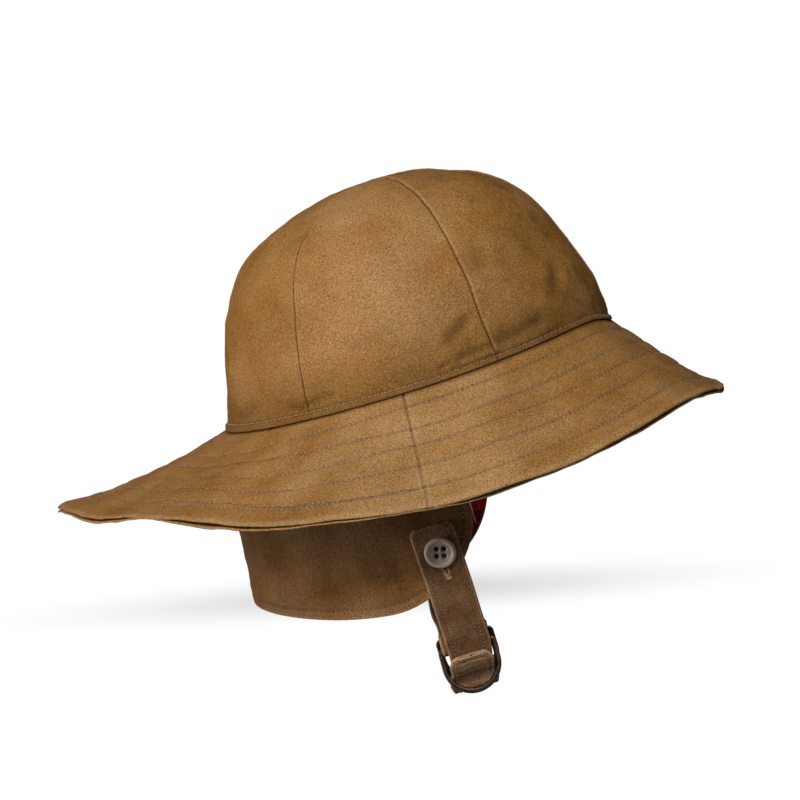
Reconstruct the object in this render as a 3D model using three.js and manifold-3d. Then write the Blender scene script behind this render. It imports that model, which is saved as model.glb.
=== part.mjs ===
// A sou'wester hat of waxed cloth: a crown of six panels, a drooping brim that is long behind, an ear and
// neck flap lined with check wool, and a chin strap that buttons to the flap and closes through two
// D-rings. Millimetres. +X is the hat's front, +Y the wearer's left and +Z up. The origin is the centre
// of the head opening, at the level of the seam between crown and brim.

import * as THREE from "three";
import Module from "manifold-3d";
import { mergeVertices } from "three/addons/utils/BufferGeometryUtils.js";

const wasm = await Module();
wasm.setup();

// Cloth
const clothWall = 1;
const clothGap = 0.3;

// Head opening: an oval a little wider behind its middle, whose seam rises at the front and at the back
const openingLength = 204.9;
const openingWidth = 167.9;
const openingEgg = 0.075;
const seamRiseFront = 4.6;
const seamRiseBack = 1.5;
const seamDipFront = 6.6;
const seamDipReachRight = 18;
const seamDipReachLeft = 28;

// Crown
const crownHeight = 102.6;
const crownApexForward = 7;
const crownPanels = 6;
const panelSwell = 1.1;
const apexHole = 2.2;

// Brim: its width on the slope at the front, the side and the back
const brimWidthFront = 67;
const brimWidthSide = 67;
const brimWidthBack = 96;
const brimSeamBack = 1.3;
const brimSeamLean = 0.8;

// Ear and neck flap: at the wearer's left it hangs a little lower and straighter
const flapDepthSide = 105.5;
const flapDepthLeft = 110;
const flapDepthBack = 89;
const flapTopRise = 1.5;
const flapFrontForward = 13.4;
const flapCornerLength = 58;
const flapCornerLengthLeft = 44;
const flapCornerHeight = 46;
const flapFlareBack = 16;
const flapLeanSide = 12;
const flapLeanLeft = 10;
const liningInset = 1;

// Chin strap
const strapWidth = 22.4;
const strapThickness = 2;
const strapClearance = 0.7;
const strapForward = -9.6;
const strapTopDrop = 65.5;
const strapFlapDrop = 99;
const strapCornerRadius = 4.5;
const farStrapForward = -26;
const farStrapBow = 2;
const farStrapFold = 16;

// D-rings
const ringWire = 2;
const ringInnerWidth = 26.4;
const ringStraight = 10;
const ringForward = -13;
const ringOut = 47;
const ringDrop = 128.2;
const ringStepDown = 4.6;
const ringStepOut = 2.5;
const ringTilt = 0.28;

// Button
const buttonDiameter = 15.8;
const buttonThickness = 3.4;
const buttonRim = 1.9;
const buttonDrop = 79.2;
const buttonForward = -8.6;
const buttonHole = 2.2;
const buttonHoleSpacing = 3.7;
const buttonTurn = -14;
const shankDiameter = 2.8;
const buttonholeLength = 15;
const buttonholeClearance = 0.3;

// How finely the surfaces are divided
const panelColumns = 8;
const brimColumns = 26;
const brimRows = 6;
const flapColumns = 44;
const flapRows = 6;
const strapColumns = 4;
const slopeSteps = 12;
const roundSides = 24;
const wireSides = 6;
const ringArcSteps = 14;

// Crown outline from the hem to the apex: the rise as a share of crownHeight, and the distance from the
// apex's axis as a share of the opening's at the front, the sides and the back
const crownOutline = [
  { rise: 0, front: 1, side: 1, back: 1 },
  { rise: 0.05, front: 0.998, side: 1.004, back: 0.986 },
  { rise: 0.13, front: 0.992, side: 0.996, back: 0.967 },
  { rise: 0.28, front: 0.958, side: 0.966, back: 0.93 },
  { rise: 0.43, front: 0.905, side: 0.92, back: 0.883 },
  { rise: 0.57, front: 0.842, side: 0.86, back: 0.828 },
  { rise: 0.69, front: 0.772, side: 0.79, back: 0.766 },
  { rise: 0.79, front: 0.682, side: 0.7, back: 0.682 },
  { rise: 0.87, front: 0.57, side: 0.585, back: 0.54 },
  { rise: 0.93, front: 0.43, side: 0.44, back: 0.39 },
  { rise: 0.975, front: 0.26, side: 0.265, back: 0.225 },
  { rise: 1, front: 0, side: 0, back: 0 },
];

// Soft dents in the crown: the place as an angle from the front and a share of the height, the depth in
// shares of panelSwell, and the reach round the crown in degrees and up it in shares of the height
const crownDents = [
  { angle: -64, rise: 0.22, depth: 1.5, round: 13, up: 0.1 },
  { angle: -104, rise: 0.17, depth: 1.3, round: 16, up: 0.09 },
  { angle: -150, rise: 0.3, depth: 1.2, round: 12, up: 0.2 },
  { angle: -28, rise: 0.5, depth: 1.1, round: 12, up: 0.16 },
  { angle: 40, rise: 0.24, depth: 1.4, round: 14, up: 0.12 },
  { angle: 92, rise: 0.3, depth: 1.3, round: 15, up: 0.14 },
  { angle: 148, rise: 0.2, depth: 1.4, round: 14, up: 0.12 },
];

// Brim sections from the front, at 0 degrees, to the back: the droop below level at mid-width, how many
// degrees it flattens from the seam to the edge, how many more in the lip, and how much more it droops at
// the wearer's left
const brimSections = [
  { angle: 0, droop: 48, sweep: 4, lip: 22, left: 0 },
  { angle: 10, droop: 47.5, sweep: 4, lip: 19, left: 1 },
  { angle: 20, droop: 46, sweep: 3, lip: 12, left: 2 },
  { angle: 30, droop: 45.5, sweep: 2, lip: 5, left: 2 },
  { angle: 45, droop: 49.5, sweep: 1, lip: 2, left: 1 },
  { angle: 60, droop: 53, sweep: 0, lip: 0, left: 0 },
  { angle: 75, droop: 53, sweep: 0, lip: 0, left: 0 },
  { angle: 90, droop: 50.5, sweep: 0, lip: 0, left: 0 },
  { angle: 105, droop: 41.5, sweep: 1, lip: 0, left: 0 },
  { angle: 120, droop: 29.8, sweep: 3, lip: 0, left: 1 },
  { angle: 130, droop: 20.3, sweep: 5, lip: 0, left: 2 },
  { angle: 140, droop: 13.6, sweep: 7, lip: 1, left: 3 },
  { angle: 150, droop: 10, sweep: 8, lip: 2, left: 4 },
  { angle: 160, droop: 7, sweep: 8, lip: 2, left: 5 },
  { angle: 170, droop: 6.4, sweep: 8, lip: 3, left: 3.5 },
  { angle: 180, droop: 8, sweep: 8, lip: 3, left: 0 },
];
const lipStart = 0.84;

// Waves in the brim behind the ears: the angle, the rise of the edge as a share of brimWidthBack, and the
// reach
const brimWaves = [
  { angle: 166, rise: 0.008, reach: 6 },
  { angle: 152, rise: -0.012, reach: 7 },
  { angle: 141, rise: 0.014, reach: 7 },
  { angle: 127, rise: -0.008, reach: 8 },
];

// Flap sections from the seam down: the drop as a share of the flap's depth there, the outward flare
// behind as a share of flapFlareBack, and the inward lean at the sides as a share of flapLeanSide
const flapSections = [
  { drop: 0, flare: 0, lean: 0 },
  { drop: 0.25, flare: 0.36, lean: 0.02 },
  { drop: 0.5, flare: 0.68, lean: 0.16 },
  { drop: 0.75, flare: 0.88, lean: 0.5 },
  { drop: 1, flare: 1, lean: 1 },
];

// Soft dents in the flap: the angle from the front, the drop as a share of the depth, the depth of the
// dent as a share of flapLeanSide, and its reach in degrees and in shares of the depth
const flapDents = [
  { angle: 112, drop: 0.72, depth: 0.14, round: 7, down: 0.16 },
  { angle: 128, drop: 0.86, depth: 0.12, round: 8, down: 0.1 },
  { angle: 146, drop: 0.68, depth: 0.16, round: 7, down: 0.22 },
];

// The buttoned strap's way through the rings, as shares of the rings' radius from the back ring's lowest
// point: out towards the wearer's right and up. centred goes from 0, under the button, to 1, in line with
// the rings, and half is a share of the strap's half width. The strap goes through both rings, turns up
// round the lower edge of the back ring, comes out through the front ring and ends in a rounded tab.
const threading = [
  { out: 0.84, up: 1.46, centred: 0.35, half: 1 },
  { out: 0.6, up: 1.0, centred: 0.6, half: 0.96 },
  { out: 0.3, up: 0.74, centred: 0.85, half: 0.93 },
  { out: 0.02, up: 0.66, centred: 1, half: 0.92 },
  { out: -0.2, up: 0.5, centred: 1, half: 0.95 },
  { out: -0.23, up: 0.12, centred: 1.1, half: 1 },
  { out: -0.17, up: -0.1, centred: 1.2, half: 0.99 },
  { out: 0, up: -0.21, centred: 1.3, half: 0.97 },
  { out: 0.17, up: -0.12, centred: 1.25, half: 0.97 },
  { out: 0.24, up: 0.07, centred: 1.15, half: 0.95 },
  { out: 0.42, up: 0.34, centred: 1, half: 0.95 },
  { out: 0.68, up: 0.57, centred: 0.85, half: 1 },
  { out: 0.9, up: 0.82, centred: 0.7, half: 1.03 },
  { out: 0.98, up: 0.95, centred: 0.65, half: 0.98 },
  { out: 1.03, up: 1.07, centred: 0.6, half: 0.87 },
  { out: 1.08, up: 1.15, centred: 0.55, half: 0.66 },
  { out: 1.1, up: 1.19, centred: 0.55, half: 0.34 },
];

const colours = {
  crown: 0x9a6a35,
  brim: 0x93662f,
  brimUnder: 0x8a6234,
  flap: 0x6e4a26,
  lining: 0x7d1016,
  strap: 0x6b4a2b,
  ring: 0x3c2c20,
  button: 0x5e4a3a,
};

const degrees = THREE.MathUtils.degToRad;

// Reads a column of a table at any value of its first column, on a smooth curve through the rows.
function readTable(rows, key, column, value) {
  const last = rows.length - 1;
  let i = 0;
  while (i < last - 1 && value > rows[i + 1][key]) i += 1;
  const slopeAt = (k) => {
    const before = rows[Math.max(k - 1, 0)];
    const after = rows[Math.min(k + 1, last)];
    return (after[column] - before[column]) / (after[key] - before[key]);
  };
  const span = rows[i + 1][key] - rows[i][key];
  const t = THREE.MathUtils.clamp((value - rows[i][key]) / span, 0, 1);
  const t2 = t * t;
  const t3 = t2 * t;
  return (
    rows[i][column] * (2 * t3 - 3 * t2 + 1) +
    slopeAt(i) * span * (t3 - 2 * t2 + t) +
    rows[i + 1][column] * (3 * t2 - 2 * t3) +
    slopeAt(i + 1) * span * (t3 - t2)
  );
}

// The hat is alike on both sides, so tables give an angle between the front, 0, and the back, 180.
function sideAngle(angle) {
  const turned = THREE.MathUtils.euclideanModulo(angle + 180, 360) - 180;
  return Math.abs(turned);
}

// Whether an angle is on the wearer's left.
function isLeft(angle) {
  return Math.sin(degrees(angle)) > 0;
}

// A soft bump, 1 at its middle.
function bump(away, reach) {
  return Math.exp(-((away / reach) ** 2));
}

// A point on the seam between crown and brim, moved in by inset, at an angle in degrees from the front.
function seamPoint(angle, inset = 0) {
  const a = degrees(angle);
  const c = Math.cos(a);
  const rise = c > 0 ? seamRiseFront : seamRiseBack;
  const dipReach = isLeft(angle) ? seamDipReachLeft : seamDipReachRight;
  const dip = seamDipFront * bump(sideAngle(angle), dipReach);
  return new THREE.Vector3(
    (openingLength / 2 - inset) * c,
    (openingWidth / 2 - inset) * Math.sin(a) * (1 - openingEgg * c),
    rise * c * c - dip,
  );
}

// The level direction straight out from the seam.
function seamOutward(angle) {
  const step = 0.05;
  const along = seamPoint(angle + step).sub(seamPoint(angle - step));
  return new THREE.Vector3(along.y, -along.x, 0).normalize();
}

// The angles that share the seam's girth equally between parts, starting at the front.
function equalGirthAngles(parts) {
  const steps = 720;
  const lengths = [0];
  for (let i = 1; i <= steps; i += 1) {
    const before = seamPoint((360 * (i - 1)) / steps).setZ(0);
    const here = seamPoint((360 * i) / steps).setZ(0);
    lengths.push(lengths[i - 1] + before.distanceTo(here));
  }
  return Array.from({ length: parts + 1 }, (_, part) => {
    const wanted = (lengths[steps] * part) / parts;
    const i = Math.max(1, lengths.findIndex((l) => l >= wanted - 1e-6));
    const share = (wanted - lengths[i - 1]) / (lengths[i] - lengths[i - 1]);
    return (360 * (i - 1 + share)) / steps;
  });
}

// The outward normal of a surface given by two shares, worked out from its neighbourhood.
function surfaceNormal(surface, s, t) {
  const step = 1e-3;
  const s0 = Math.max(s - step, 0);
  const s1 = Math.min(s + step, 1);
  const t0 = Math.max(t - step, 0);
  const t1 = Math.min(t + step, 1);
  const across = surface(s1, t).sub(surface(s0, t));
  const along = surface(s, t1).sub(surface(s, t0));
  return across.cross(along).normalize();
}

// The same surface, moved in by depth.
function movedIn(surface, depth) {
  return (s, t) => surface(s, t).addScaledVector(surfaceNormal(surface, s, t), -depth);
}

// A closed wall between a surface and the same surface moved in by thickness.
function clothWallGeometry(surface, columns, rows, thickness) {
  const inner = movedIn(surface, thickness);
  const points = [];
  for (const face of [surface, inner]) {
    for (let i = 0; i < columns.length; i += 1) {
      for (let j = 0; j < rows.length; j += 1) {
        points.push(face(columns[i], rows[j]));
      }
    }
  }
  const at = (face, i, j) => (face * columns.length + i) * rows.length + j;
  const index = [];
  const quad = (a, b, c, d) => index.push(a, b, c, a, c, d);
  const lastColumn = columns.length - 1;
  const lastRow = rows.length - 1;
  for (let i = 0; i < lastColumn; i += 1) {
    for (let j = 0; j < lastRow; j += 1) {
      quad(at(0, i, j), at(0, i + 1, j), at(0, i + 1, j + 1), at(0, i, j + 1));
      quad(at(1, i, j), at(1, i, j + 1), at(1, i + 1, j + 1), at(1, i + 1, j));
    }
    quad(at(0, i, 0), at(1, i, 0), at(1, i + 1, 0), at(0, i + 1, 0));
    quad(at(0, i, lastRow), at(0, i + 1, lastRow), at(1, i + 1, lastRow), at(1, i, lastRow));
  }
  for (let j = 0; j < lastRow; j += 1) {
    quad(at(0, 0, j), at(0, 0, j + 1), at(1, 0, j + 1), at(1, 0, j));
    quad(at(0, lastColumn, j), at(1, lastColumn, j), at(1, lastColumn, j + 1), at(0, lastColumn, j + 1));
  }
  return new THREE.BufferGeometry().setFromPoints(points).setIndex(index);
}

// Equal shares from 0 to 1.
function shares(count) {
  return Array.from({ length: count + 1 }, (_, i) => i / count);
}

// Shares from 0 to 1 that crowd together at both ends.
function crowdedShares(count) {
  return shares(count).map((s) => (1 - Math.cos(Math.PI * s)) / 2);
}

function clothMaterial(colour) {
  return new THREE.MeshStandardMaterial({ color: colour, roughness: 0.8, metalness: 0 });
}

// Crown The crown's outer surface: share runs along crownOutline's rows from the hem to the apex, and
// puff is how far the cloth swells out between two seams.
function crownPoint(angle, share, puff) {
  const last = crownOutline.length - 1;
  const rows = crownOutline.map((row, i) => ({ ...row, share: i / last }));
  const read = (column) => readTable(rows, "share", column, share);
  const c = Math.cos(degrees(angle));
  const endShare = c > 0 ? read("front") : read("back");
  const spread = endShare * c * c + read("side") * (1 - c * c);
  const rise = read("rise");
  const seam = seamPoint(angle);
  let swell = panelSwell * puff * Math.sin(Math.PI * Math.min(1, spread));
  for (const dent of crownDents) {
    const away = THREE.MathUtils.euclideanModulo(angle - dent.angle + 180, 360) - 180;
    swell -= panelSwell * dent.depth * bump(away, dent.round) * bump(rise - dent.rise, dent.up);
  }
  const outward = seamOutward(angle);
  return new THREE.Vector3(
    crownApexForward + (seam.x - crownApexForward) * spread + outward.x * swell,
    seam.y * spread + outward.y * swell,
    seam.z + (crownHeight - seam.z) * rise,
  );
}

function crownPanelGeometry(fromAngle, toAngle) {
  const last = crownOutline.length - 1;
  const holeSpread = apexHole / (openingLength / 2);
  const topShare = 1 - holeSpread / crownOutline[last - 1].front / last;
  const surface = (s, t) => {
    const share = t * topShare;
    const middle = crownPoint((fromAngle + toAngle) / 2, share, 0);
    const radius = Math.hypot(middle.x - crownApexForward, middle.y);
    const inset = THREE.MathUtils.radToDeg(clothGap / 2 / Math.max(radius, apexHole));
    const angle = THREE.MathUtils.lerp(fromAngle + inset, toAngle - inset, s);
    return crownPoint(angle, share, 4 * s * (1 - s));
  };
  return clothWallGeometry(surface, shares(panelColumns), shares(last), clothWall);
}

// Brim
function brimWidth(angle) {
  const a = sideAngle(angle);
  const wave = (1 - Math.cos(degrees(2 * a))) / 2;
  if (a <= 90) return THREE.MathUtils.lerp(brimWidthFront, brimWidthSide, wave);
  return THREE.MathUtils.lerp(brimWidthBack, brimWidthSide, wave);
}

// The brim's upper surface: share runs down its slope from the seam to the edge.
function brimPoint(angle, share) {
  const a = sideAngle(angle);
  const more = isLeft(angle) ? readTable(brimSections, "angle", "left", a) : 0;
  const droop = readTable(brimSections, "angle", "droop", a) + more;
  const sweep = readTable(brimSections, "angle", "sweep", a);
  const lip = readTable(brimSections, "angle", "lip", a);
  const width = brimWidth(angle);
  let out = 0;
  let down = 0;
  for (let i = 0; i < slopeSteps; i += 1) {
    const here = (share * (i + 0.5)) / slopeSteps;
    const inLip = THREE.MathUtils.smoothstep(here, lipStart, 1);
    const slope = degrees(droop + sweep * (1 - 2 * here) - lip * inLip);
    out += (Math.cos(slope) * width * share) / slopeSteps;
    down += (Math.sin(slope) * width * share) / slopeSteps;
  }
  for (const wave of brimWaves) {
    down -= wave.rise * brimWidthBack * bump(a - wave.angle, wave.reach) * share * share;
  }
  const point = seamPoint(angle).addScaledVector(seamOutward(angle), out);
  point.z -= down + clothGap;
  return point;
}

function brimPlyGeometry(fromAngle, toAngle, depth) {
  const inset = THREE.MathUtils.radToDeg(clothGap / 2 / (openingWidth / 2));
  const seamAngle = (angle, share) => {
    const back = brimSeamBack + brimSeamLean * share;
    return angle + back * Math.sign(Math.sin(degrees(angle)));
  };
  const upper = (s, t) => {
    const share = 1 - t;
    const from = seamAngle(fromAngle, share) + inset;
    const to = seamAngle(toAngle, share) - inset;
    return brimPoint(THREE.MathUtils.lerp(from, to, s), share);
  };
  const surface = depth > 0 ? movedIn(upper, depth) : upper;
  return clothWallGeometry(surface, shares(brimColumns), shares(brimRows), clothWall);
}

// Ear and neck flap
// It starts inside the crown, clear of the brim's lower ply where the brim droops most.
const steepestDroop = Math.max(...brimSections.map((row) => row.droop + row.sweep));
const flapInset = (2 * clothWall + clothGap) * Math.sin(degrees(steepestDroop)) + clothGap;
const flapFrontAngle = THREE.MathUtils.radToDeg(
  Math.acos(flapFrontForward / (openingLength / 2 - flapInset)),
);

// The flap's depth below the seam, without its rounded front corners.
function flapFullDepth(angle) {
  const behind = THREE.MathUtils.smoothstep(sideAngle(angle), 110, 180);
  return THREE.MathUtils.lerp(isLeft(angle) ? flapDepthLeft : flapDepthSide, flapDepthBack, behind);
}

function flapDepth(angle) {
  const cornerLength = isLeft(angle) ? flapCornerLengthLeft : flapCornerLength;
  const cornerStart = flapFrontForward - cornerLength;
  const intoCorner = (seamPoint(angle, flapInset).x - cornerStart) / cornerLength;
  const e = THREE.MathUtils.clamp(intoCorner, 0, 1);
  return flapFullDepth(angle) - flapCornerHeight * (1 - Math.sqrt(1 - e * e));
}

// The flap's outer surface at a drop below the seam, which is negative inside the crown.
function flapPoint(angle, drop) {
  const share = THREE.MathUtils.clamp(drop / flapFullDepth(angle), 0, 1.1);
  const c = Math.min(Math.cos(degrees(angle)), 0);
  const behind = c * c;
  const flare = readTable(flapSections, "drop", "flare", share) * flapFlareBack * behind;
  const sideLean = isLeft(angle) ? flapLeanLeft : flapLeanSide;
  const lean = readTable(flapSections, "drop", "lean", share) * sideLean * (1 - behind);
  let out = flare - lean;
  for (const dent of flapDents) {
    const near = bump(sideAngle(angle) - dent.angle, dent.round) * bump(share - dent.drop, dent.down);
    out -= dent.depth * flapLeanSide * near;
  }
  const point = seamPoint(angle, flapInset).addScaledVector(seamOutward(angle), out);
  point.z -= drop;
  return point;
}

function flapPlyGeometry(depth, edgeInset) {
  const insetAngle = THREE.MathUtils.radToDeg(edgeInset / (openingWidth / 2));
  const fromAngle = flapFrontAngle + insetAngle;
  const outer = (s, t) => {
    const angle = THREE.MathUtils.lerp(fromAngle, 360 - fromAngle, s);
    const drop = THREE.MathUtils.lerp(-flapTopRise, flapDepth(angle) - edgeInset, 1 - t);
    return flapPoint(angle, drop);
  };
  const surface = depth > 0 ? movedIn(outer, depth) : outer;
  return clothWallGeometry(surface, crowdedShares(flapColumns), shares(flapRows), clothWall);
}

// Chin strap The flap's surface under the strap: side is -1 at the wearer's right, 1 at the left, and out
// is clear of the cloth.
function onFlap(side, forward, drop, out) {
  const angle = side * THREE.MathUtils.radToDeg(Math.acos(forward / (openingLength / 2 - flapInset)));
  const turned = THREE.MathUtils.euclideanModulo(angle, 360);
  const point = flapPoint(turned, drop);
  const below = flapPoint(turned, drop + 1);
  const tangent = below.clone().sub(point).normalize();
  const along = new THREE.Vector3(0, 0, 1).cross(seamOutward(turned));
  const normal = along.cross(tangent).normalize();
  if (normal.y * side < 0) normal.negate();
  point.addScaledVector(normal, out);
  return point.setX(forward);
}

// How far the flap turns out of the fore-and-aft direction under the strap.
function flapSkew(side, forward) {
  const step = 2;
  const ahead = onFlap(side, forward + step, strapTopDrop, 0);
  const behind = onFlap(side, forward - step, strapTopDrop, 0);
  return (ahead.y - behind.y) / (2 * step);
}

// A strap on a smooth path that keeps to a plane across the hat, apart from a slow drift forward or back.
// Each stop of the path has its half width and its skew, which turns it to lie flat on the flap.
function strapGeometry(stops, steps, facing) {
  const curve = new THREE.CatmullRomCurve3(stops.map((stop) => stop.point), false, "centripetal");
  const stopShare = (share) => {
    const place = share * (stops.length - 1);
    const i = Math.min(Math.floor(place), stops.length - 2);
    return { from: stops[i], to: stops[i + 1], t: place - i };
  };
  const surface = (s, t) => {
    const { from, to, t: between } = stopShare(t);
    const half = THREE.MathUtils.lerp(from.half, to.half, between);
    const skew = THREE.MathUtils.lerp(from.skew, to.skew, between);
    const across = (2 * s - 1) * facing;
    const point = curve.getPoint(t);
    point.x += across * half;
    point.y += across * half * skew;
    return point;
  };
  const outer = movedIn(surface, -strapThickness / 2);
  return clothWallGeometry(outer, shares(strapColumns), steps, strapThickness);
}

// Stops spread evenly between those given, so that a long stretch has as many divisions as it needs.
function evenSteps(stops, spacing) {
  const steps = [];
  for (let i = 0; i < stops.length - 1; i += 1) {
    const length = stops[i].point.distanceTo(stops[i + 1].point);
    const count = Math.max(1, Math.round(length / spacing));
    for (let k = 0; k < count; k += 1) {
      steps.push((i + k / count) / (stops.length - 1));
    }
  }
  steps.push(1);
  return steps;
}

const strapHalf = strapWidth / 2;
const strapOut = strapClearance + strapThickness / 2;
const wireRadius = ringWire / 2;
const ringRadius = (ringInnerWidth + ringWire) / 2;
const wrapRadius = wireRadius + clothGap + strapThickness / 2;
const backBar = new THREE.Vector3(ringForward, -ringOut, -ringDrop);
const frontBar = new THREE.Vector3(ringForward, -ringOut - ringStepOut, -ringDrop - ringStepDown);
const backRingFoot = backBar.clone().setZ(backBar.z - ringStraight - ringRadius);

// The buttoned half lies on the right flap, hangs down and goes through the rings, and its rounded end
// comes out on its own face.
function buttonedStrapStops() {
  const stops = [];
  const add = (point, half, skew = 0) => stops.push({ point, half, skew });
  const round = strapCornerRadius;
  const skew = flapSkew(-1, strapForward);
  const stretch = strapFlapDrop - strapTopDrop - round;
  const lie = (drop, half) => add(onFlap(-1, strapForward, strapTopDrop + drop, strapOut), half, skew);
  lie(0, strapHalf - round);
  lie(0.3 * round, strapHalf - 0.29 * round);
  lie(round, strapHalf);
  for (const share of [0.33, 0.66, 1]) lie(round + share * stretch, strapHalf);
  const flapEnd = stops[stops.length - 1].point;
  const route = threading.map(({ out, up, centred, half }) => {
    const x = THREE.MathUtils.lerp(strapForward, ringForward, centred);
    const y = backRingFoot.y - out * ringRadius;
    const z = backRingFoot.z + up * ringRadius;
    return { point: new THREE.Vector3(x, y, z), half: half * strapHalf };
  });
  for (const share of [0.3, 0.6, 0.85]) {
    const point = flapEnd.clone().lerp(route[0].point, share);
    point.y -= 0.4 * strapThickness * Math.sin(Math.PI * share);
    add(point, strapHalf);
  }
  for (const { point, half } of route) add(point, half);
  return stops;
}

// The far half is sewn to the left flap, runs under the chin to the rings' bars, turns round both and is
// sewn back to itself.
function sewnStrapStops() {
  const stops = [];
  const add = (point, half = strapHalf, skew = 0) => stops.push({ point, half, skew });
  const round = strapCornerRadius;
  const skew = flapSkew(1, farStrapForward);
  const stretch = flapDepthLeft + 1.2 * strapThickness - strapTopDrop - round;
  const lie = (drop, half) => add(onFlap(1, farStrapForward, strapTopDrop + drop, strapOut), half, skew);
  lie(0, strapHalf - round);
  lie(0.3 * round, strapHalf - 0.29 * round);
  lie(round, strapHalf);
  for (const share of [0.3, 0.6, 0.85, 1]) lie(round + share * stretch, strapHalf);
  const flapEnd = stops[stops.length - 1].point;
  const overBar = backBar.clone();
  overBar.y += 1.6 * wrapRadius;
  overBar.z += 1.15 * wrapRadius;
  for (const share of [0.08, 0.2, 0.4, 0.6, 0.8]) {
    const point = flapEnd.clone().lerp(overBar, share);
    const sag = Math.sin(Math.PI * Math.sqrt(share));
    point.x -= farStrapBow * Math.sin(Math.PI * share);
    point.z -= 4 * strapThickness * sag;
    add(point);
  }
  add(overBar);
  const round2 = (bar, y, z) => new THREE.Vector3(bar.x, bar.y + y * wrapRadius, bar.z + z * wrapRadius);
  add(round2(backBar, 0, 1.06));
  add(round2(backBar, -0.95, 0.45));
  add(round2(frontBar, -1.08, 0.3));
  add(round2(frontBar, -0.72, -0.8));
  add(round2(frontBar, 0.3, -1.04));
  add(round2(frontBar, 1.3, -0.1));
  const alongBack = flapEnd.clone().lerp(overBar, 0.8).sub(overBar);
  alongBack.z -= 4 * strapThickness * Math.sin(Math.PI * Math.sqrt(0.8));
  alongBack.normalize();
  const foldStart = overBar.clone().addScaledVector(alongBack, 0.35 * farStrapFold);
  const foldEnd = overBar.clone().addScaledVector(alongBack, farStrapFold);
  for (const point of [foldStart, foldEnd]) {
    point.z -= 1.06 * strapThickness + clothGap;
    add(point);
  }
  return stops;
}

function solidFrom(geometry) {
  const plain = geometry.clone();
  plain.deleteAttribute("normal");
  plain.deleteAttribute("uv");
  const merged = mergeVertices(plain, 1e-4);
  return new wasm.Manifold(
    new wasm.Mesh({
      numProp: 3,
      vertProperties: merged.attributes.position.array,
      triVerts: new Uint32Array(merged.index.array),
    }),
  );
}

function geometryFrom(solid) {
  const mesh = solid.getMesh();
  return new THREE.BufferGeometry()
    .setAttribute("position", new THREE.BufferAttribute(new Float32Array(mesh.vertProperties), 3))
    .setIndex(new THREE.BufferAttribute(new Uint32Array(mesh.triVerts), 1));
}

// The buttonhole is a slot down the middle of the strap, just wide enough for the button's thread shank.
function buttonedStrapGeometry() {
  const stops = buttonedStrapStops();
  const strap = solidFrom(strapGeometry(stops, evenSteps(stops, 6), 1));
  const slotWidth = shankDiameter + 2 * buttonholeClearance;
  const slotBox = new THREE.BoxGeometry(slotWidth, 8 * strapThickness, buttonholeLength);
  const middle = onFlap(-1, buttonForward, buttonDrop, strapOut);
  const top = slotWidth / 2;
  slotBox.translate(middle.x, middle.y, middle.z + top - buttonholeLength / 2);
  return geometryFrom(strap.subtract(solidFrom(slotBox)));
}

// D-rings
function ringMesh(bar, tilt) {
  const centres = [];
  const half = ringInnerWidth / 2 + wireRadius;
  const corner = ringWire;
  for (let i = 0; i <= 3; i += 1) {
    const a = (Math.PI / 2) * (i / 3);
    centres.push([half - corner + corner * Math.sin(a), -corner + corner * Math.cos(a)]);
  }
  for (let i = 0; i <= ringArcSteps; i += 1) {
    const a = (Math.PI * i) / ringArcSteps;
    centres.push([half * Math.cos(a), -ringStraight - ringRadius * Math.sin(a)]);
  }
  for (let i = 0; i <= 3; i += 1) {
    const a = (Math.PI / 2) * (i / 3);
    centres.push([-half + corner - corner * Math.cos(a), -corner + corner * Math.sin(a)]);
  }
  const count = centres.length;
  const points = [];
  const index = [];
  centres.forEach(([x, z], i) => {
    const before = centres[(i + count - 1) % count];
    const after = centres[(i + 1) % count];
    const along = new THREE.Vector3(after[0] - before[0], 0, after[1] - before[1]).normalize();
    const outward = new THREE.Vector3(along.z, 0, -along.x);
    for (let k = 0; k < wireSides; k += 1) {
      const a = (2 * Math.PI * (k + 0.5)) / wireSides;
      const point = new THREE.Vector3(x, wireRadius * Math.sin(a), z);
      points.push(point.addScaledVector(outward, wireRadius * Math.cos(a)));
      const next = (k + 1) % wireSides;
      const ahead = ((i + 1) % count) * wireSides;
      index.push(i * wireSides + k, i * wireSides + next, ahead + next);
      index.push(i * wireSides + k, ahead + next, ahead + k);
    }
  });
  const geometry = new THREE.BufferGeometry().setFromPoints(points).setIndex(index);
  const material = new THREE.MeshStandardMaterial({ color: colours.ring, roughness: 0.4, metalness: 0.8 });
  const mesh = new THREE.Mesh(geometry, material);
  mesh.position.copy(bar);
  mesh.rotation.x = -tilt;
  return mesh;
}

// Button: a turned disc with a raised rim and four holes, on a shank of thread that goes through the
// buttonhole and ends at the flap's face.
function buttonGeometry() {
  const radius = buttonDiameter / 2;
  const floor = buttonThickness * 0.62;
  const shankLength = strapOut + strapThickness / 2;
  const shank = shankDiameter / 2;
  const profile = [
    [0, -shankLength],
    [shank, -shankLength],
    [shank, 0],
    [radius * 0.72, 0],
    [radius, buttonThickness * 0.38],
    [radius, buttonThickness * 0.75],
    [radius - buttonRim * 0.45, buttonThickness],
    [radius - buttonRim, buttonThickness * 0.9],
    [radius - buttonRim * 1.35, floor],
    [0, floor],
  ];
  const disc = new THREE.LatheGeometry(profile.map(([x, y]) => new THREE.Vector2(x, y)), roundSides);
  let solid = solidFrom(disc);
  for (const [x, z] of [[1, 1], [1, -1], [-1, 1], [-1, -1]]) {
    const drill = new THREE.CylinderGeometry(buttonHole / 2, buttonHole / 2, buttonThickness * 0.5, 8);
    const half = buttonHoleSpacing / 2;
    drill.translate(x * half, floor, z * half);
    drill.rotateY(degrees(buttonTurn));
    solid = solid.subtract(solidFrom(drill));
  }
  return geometryFrom(solid);
}

// Assembly
const hat = new THREE.Group();

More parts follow.
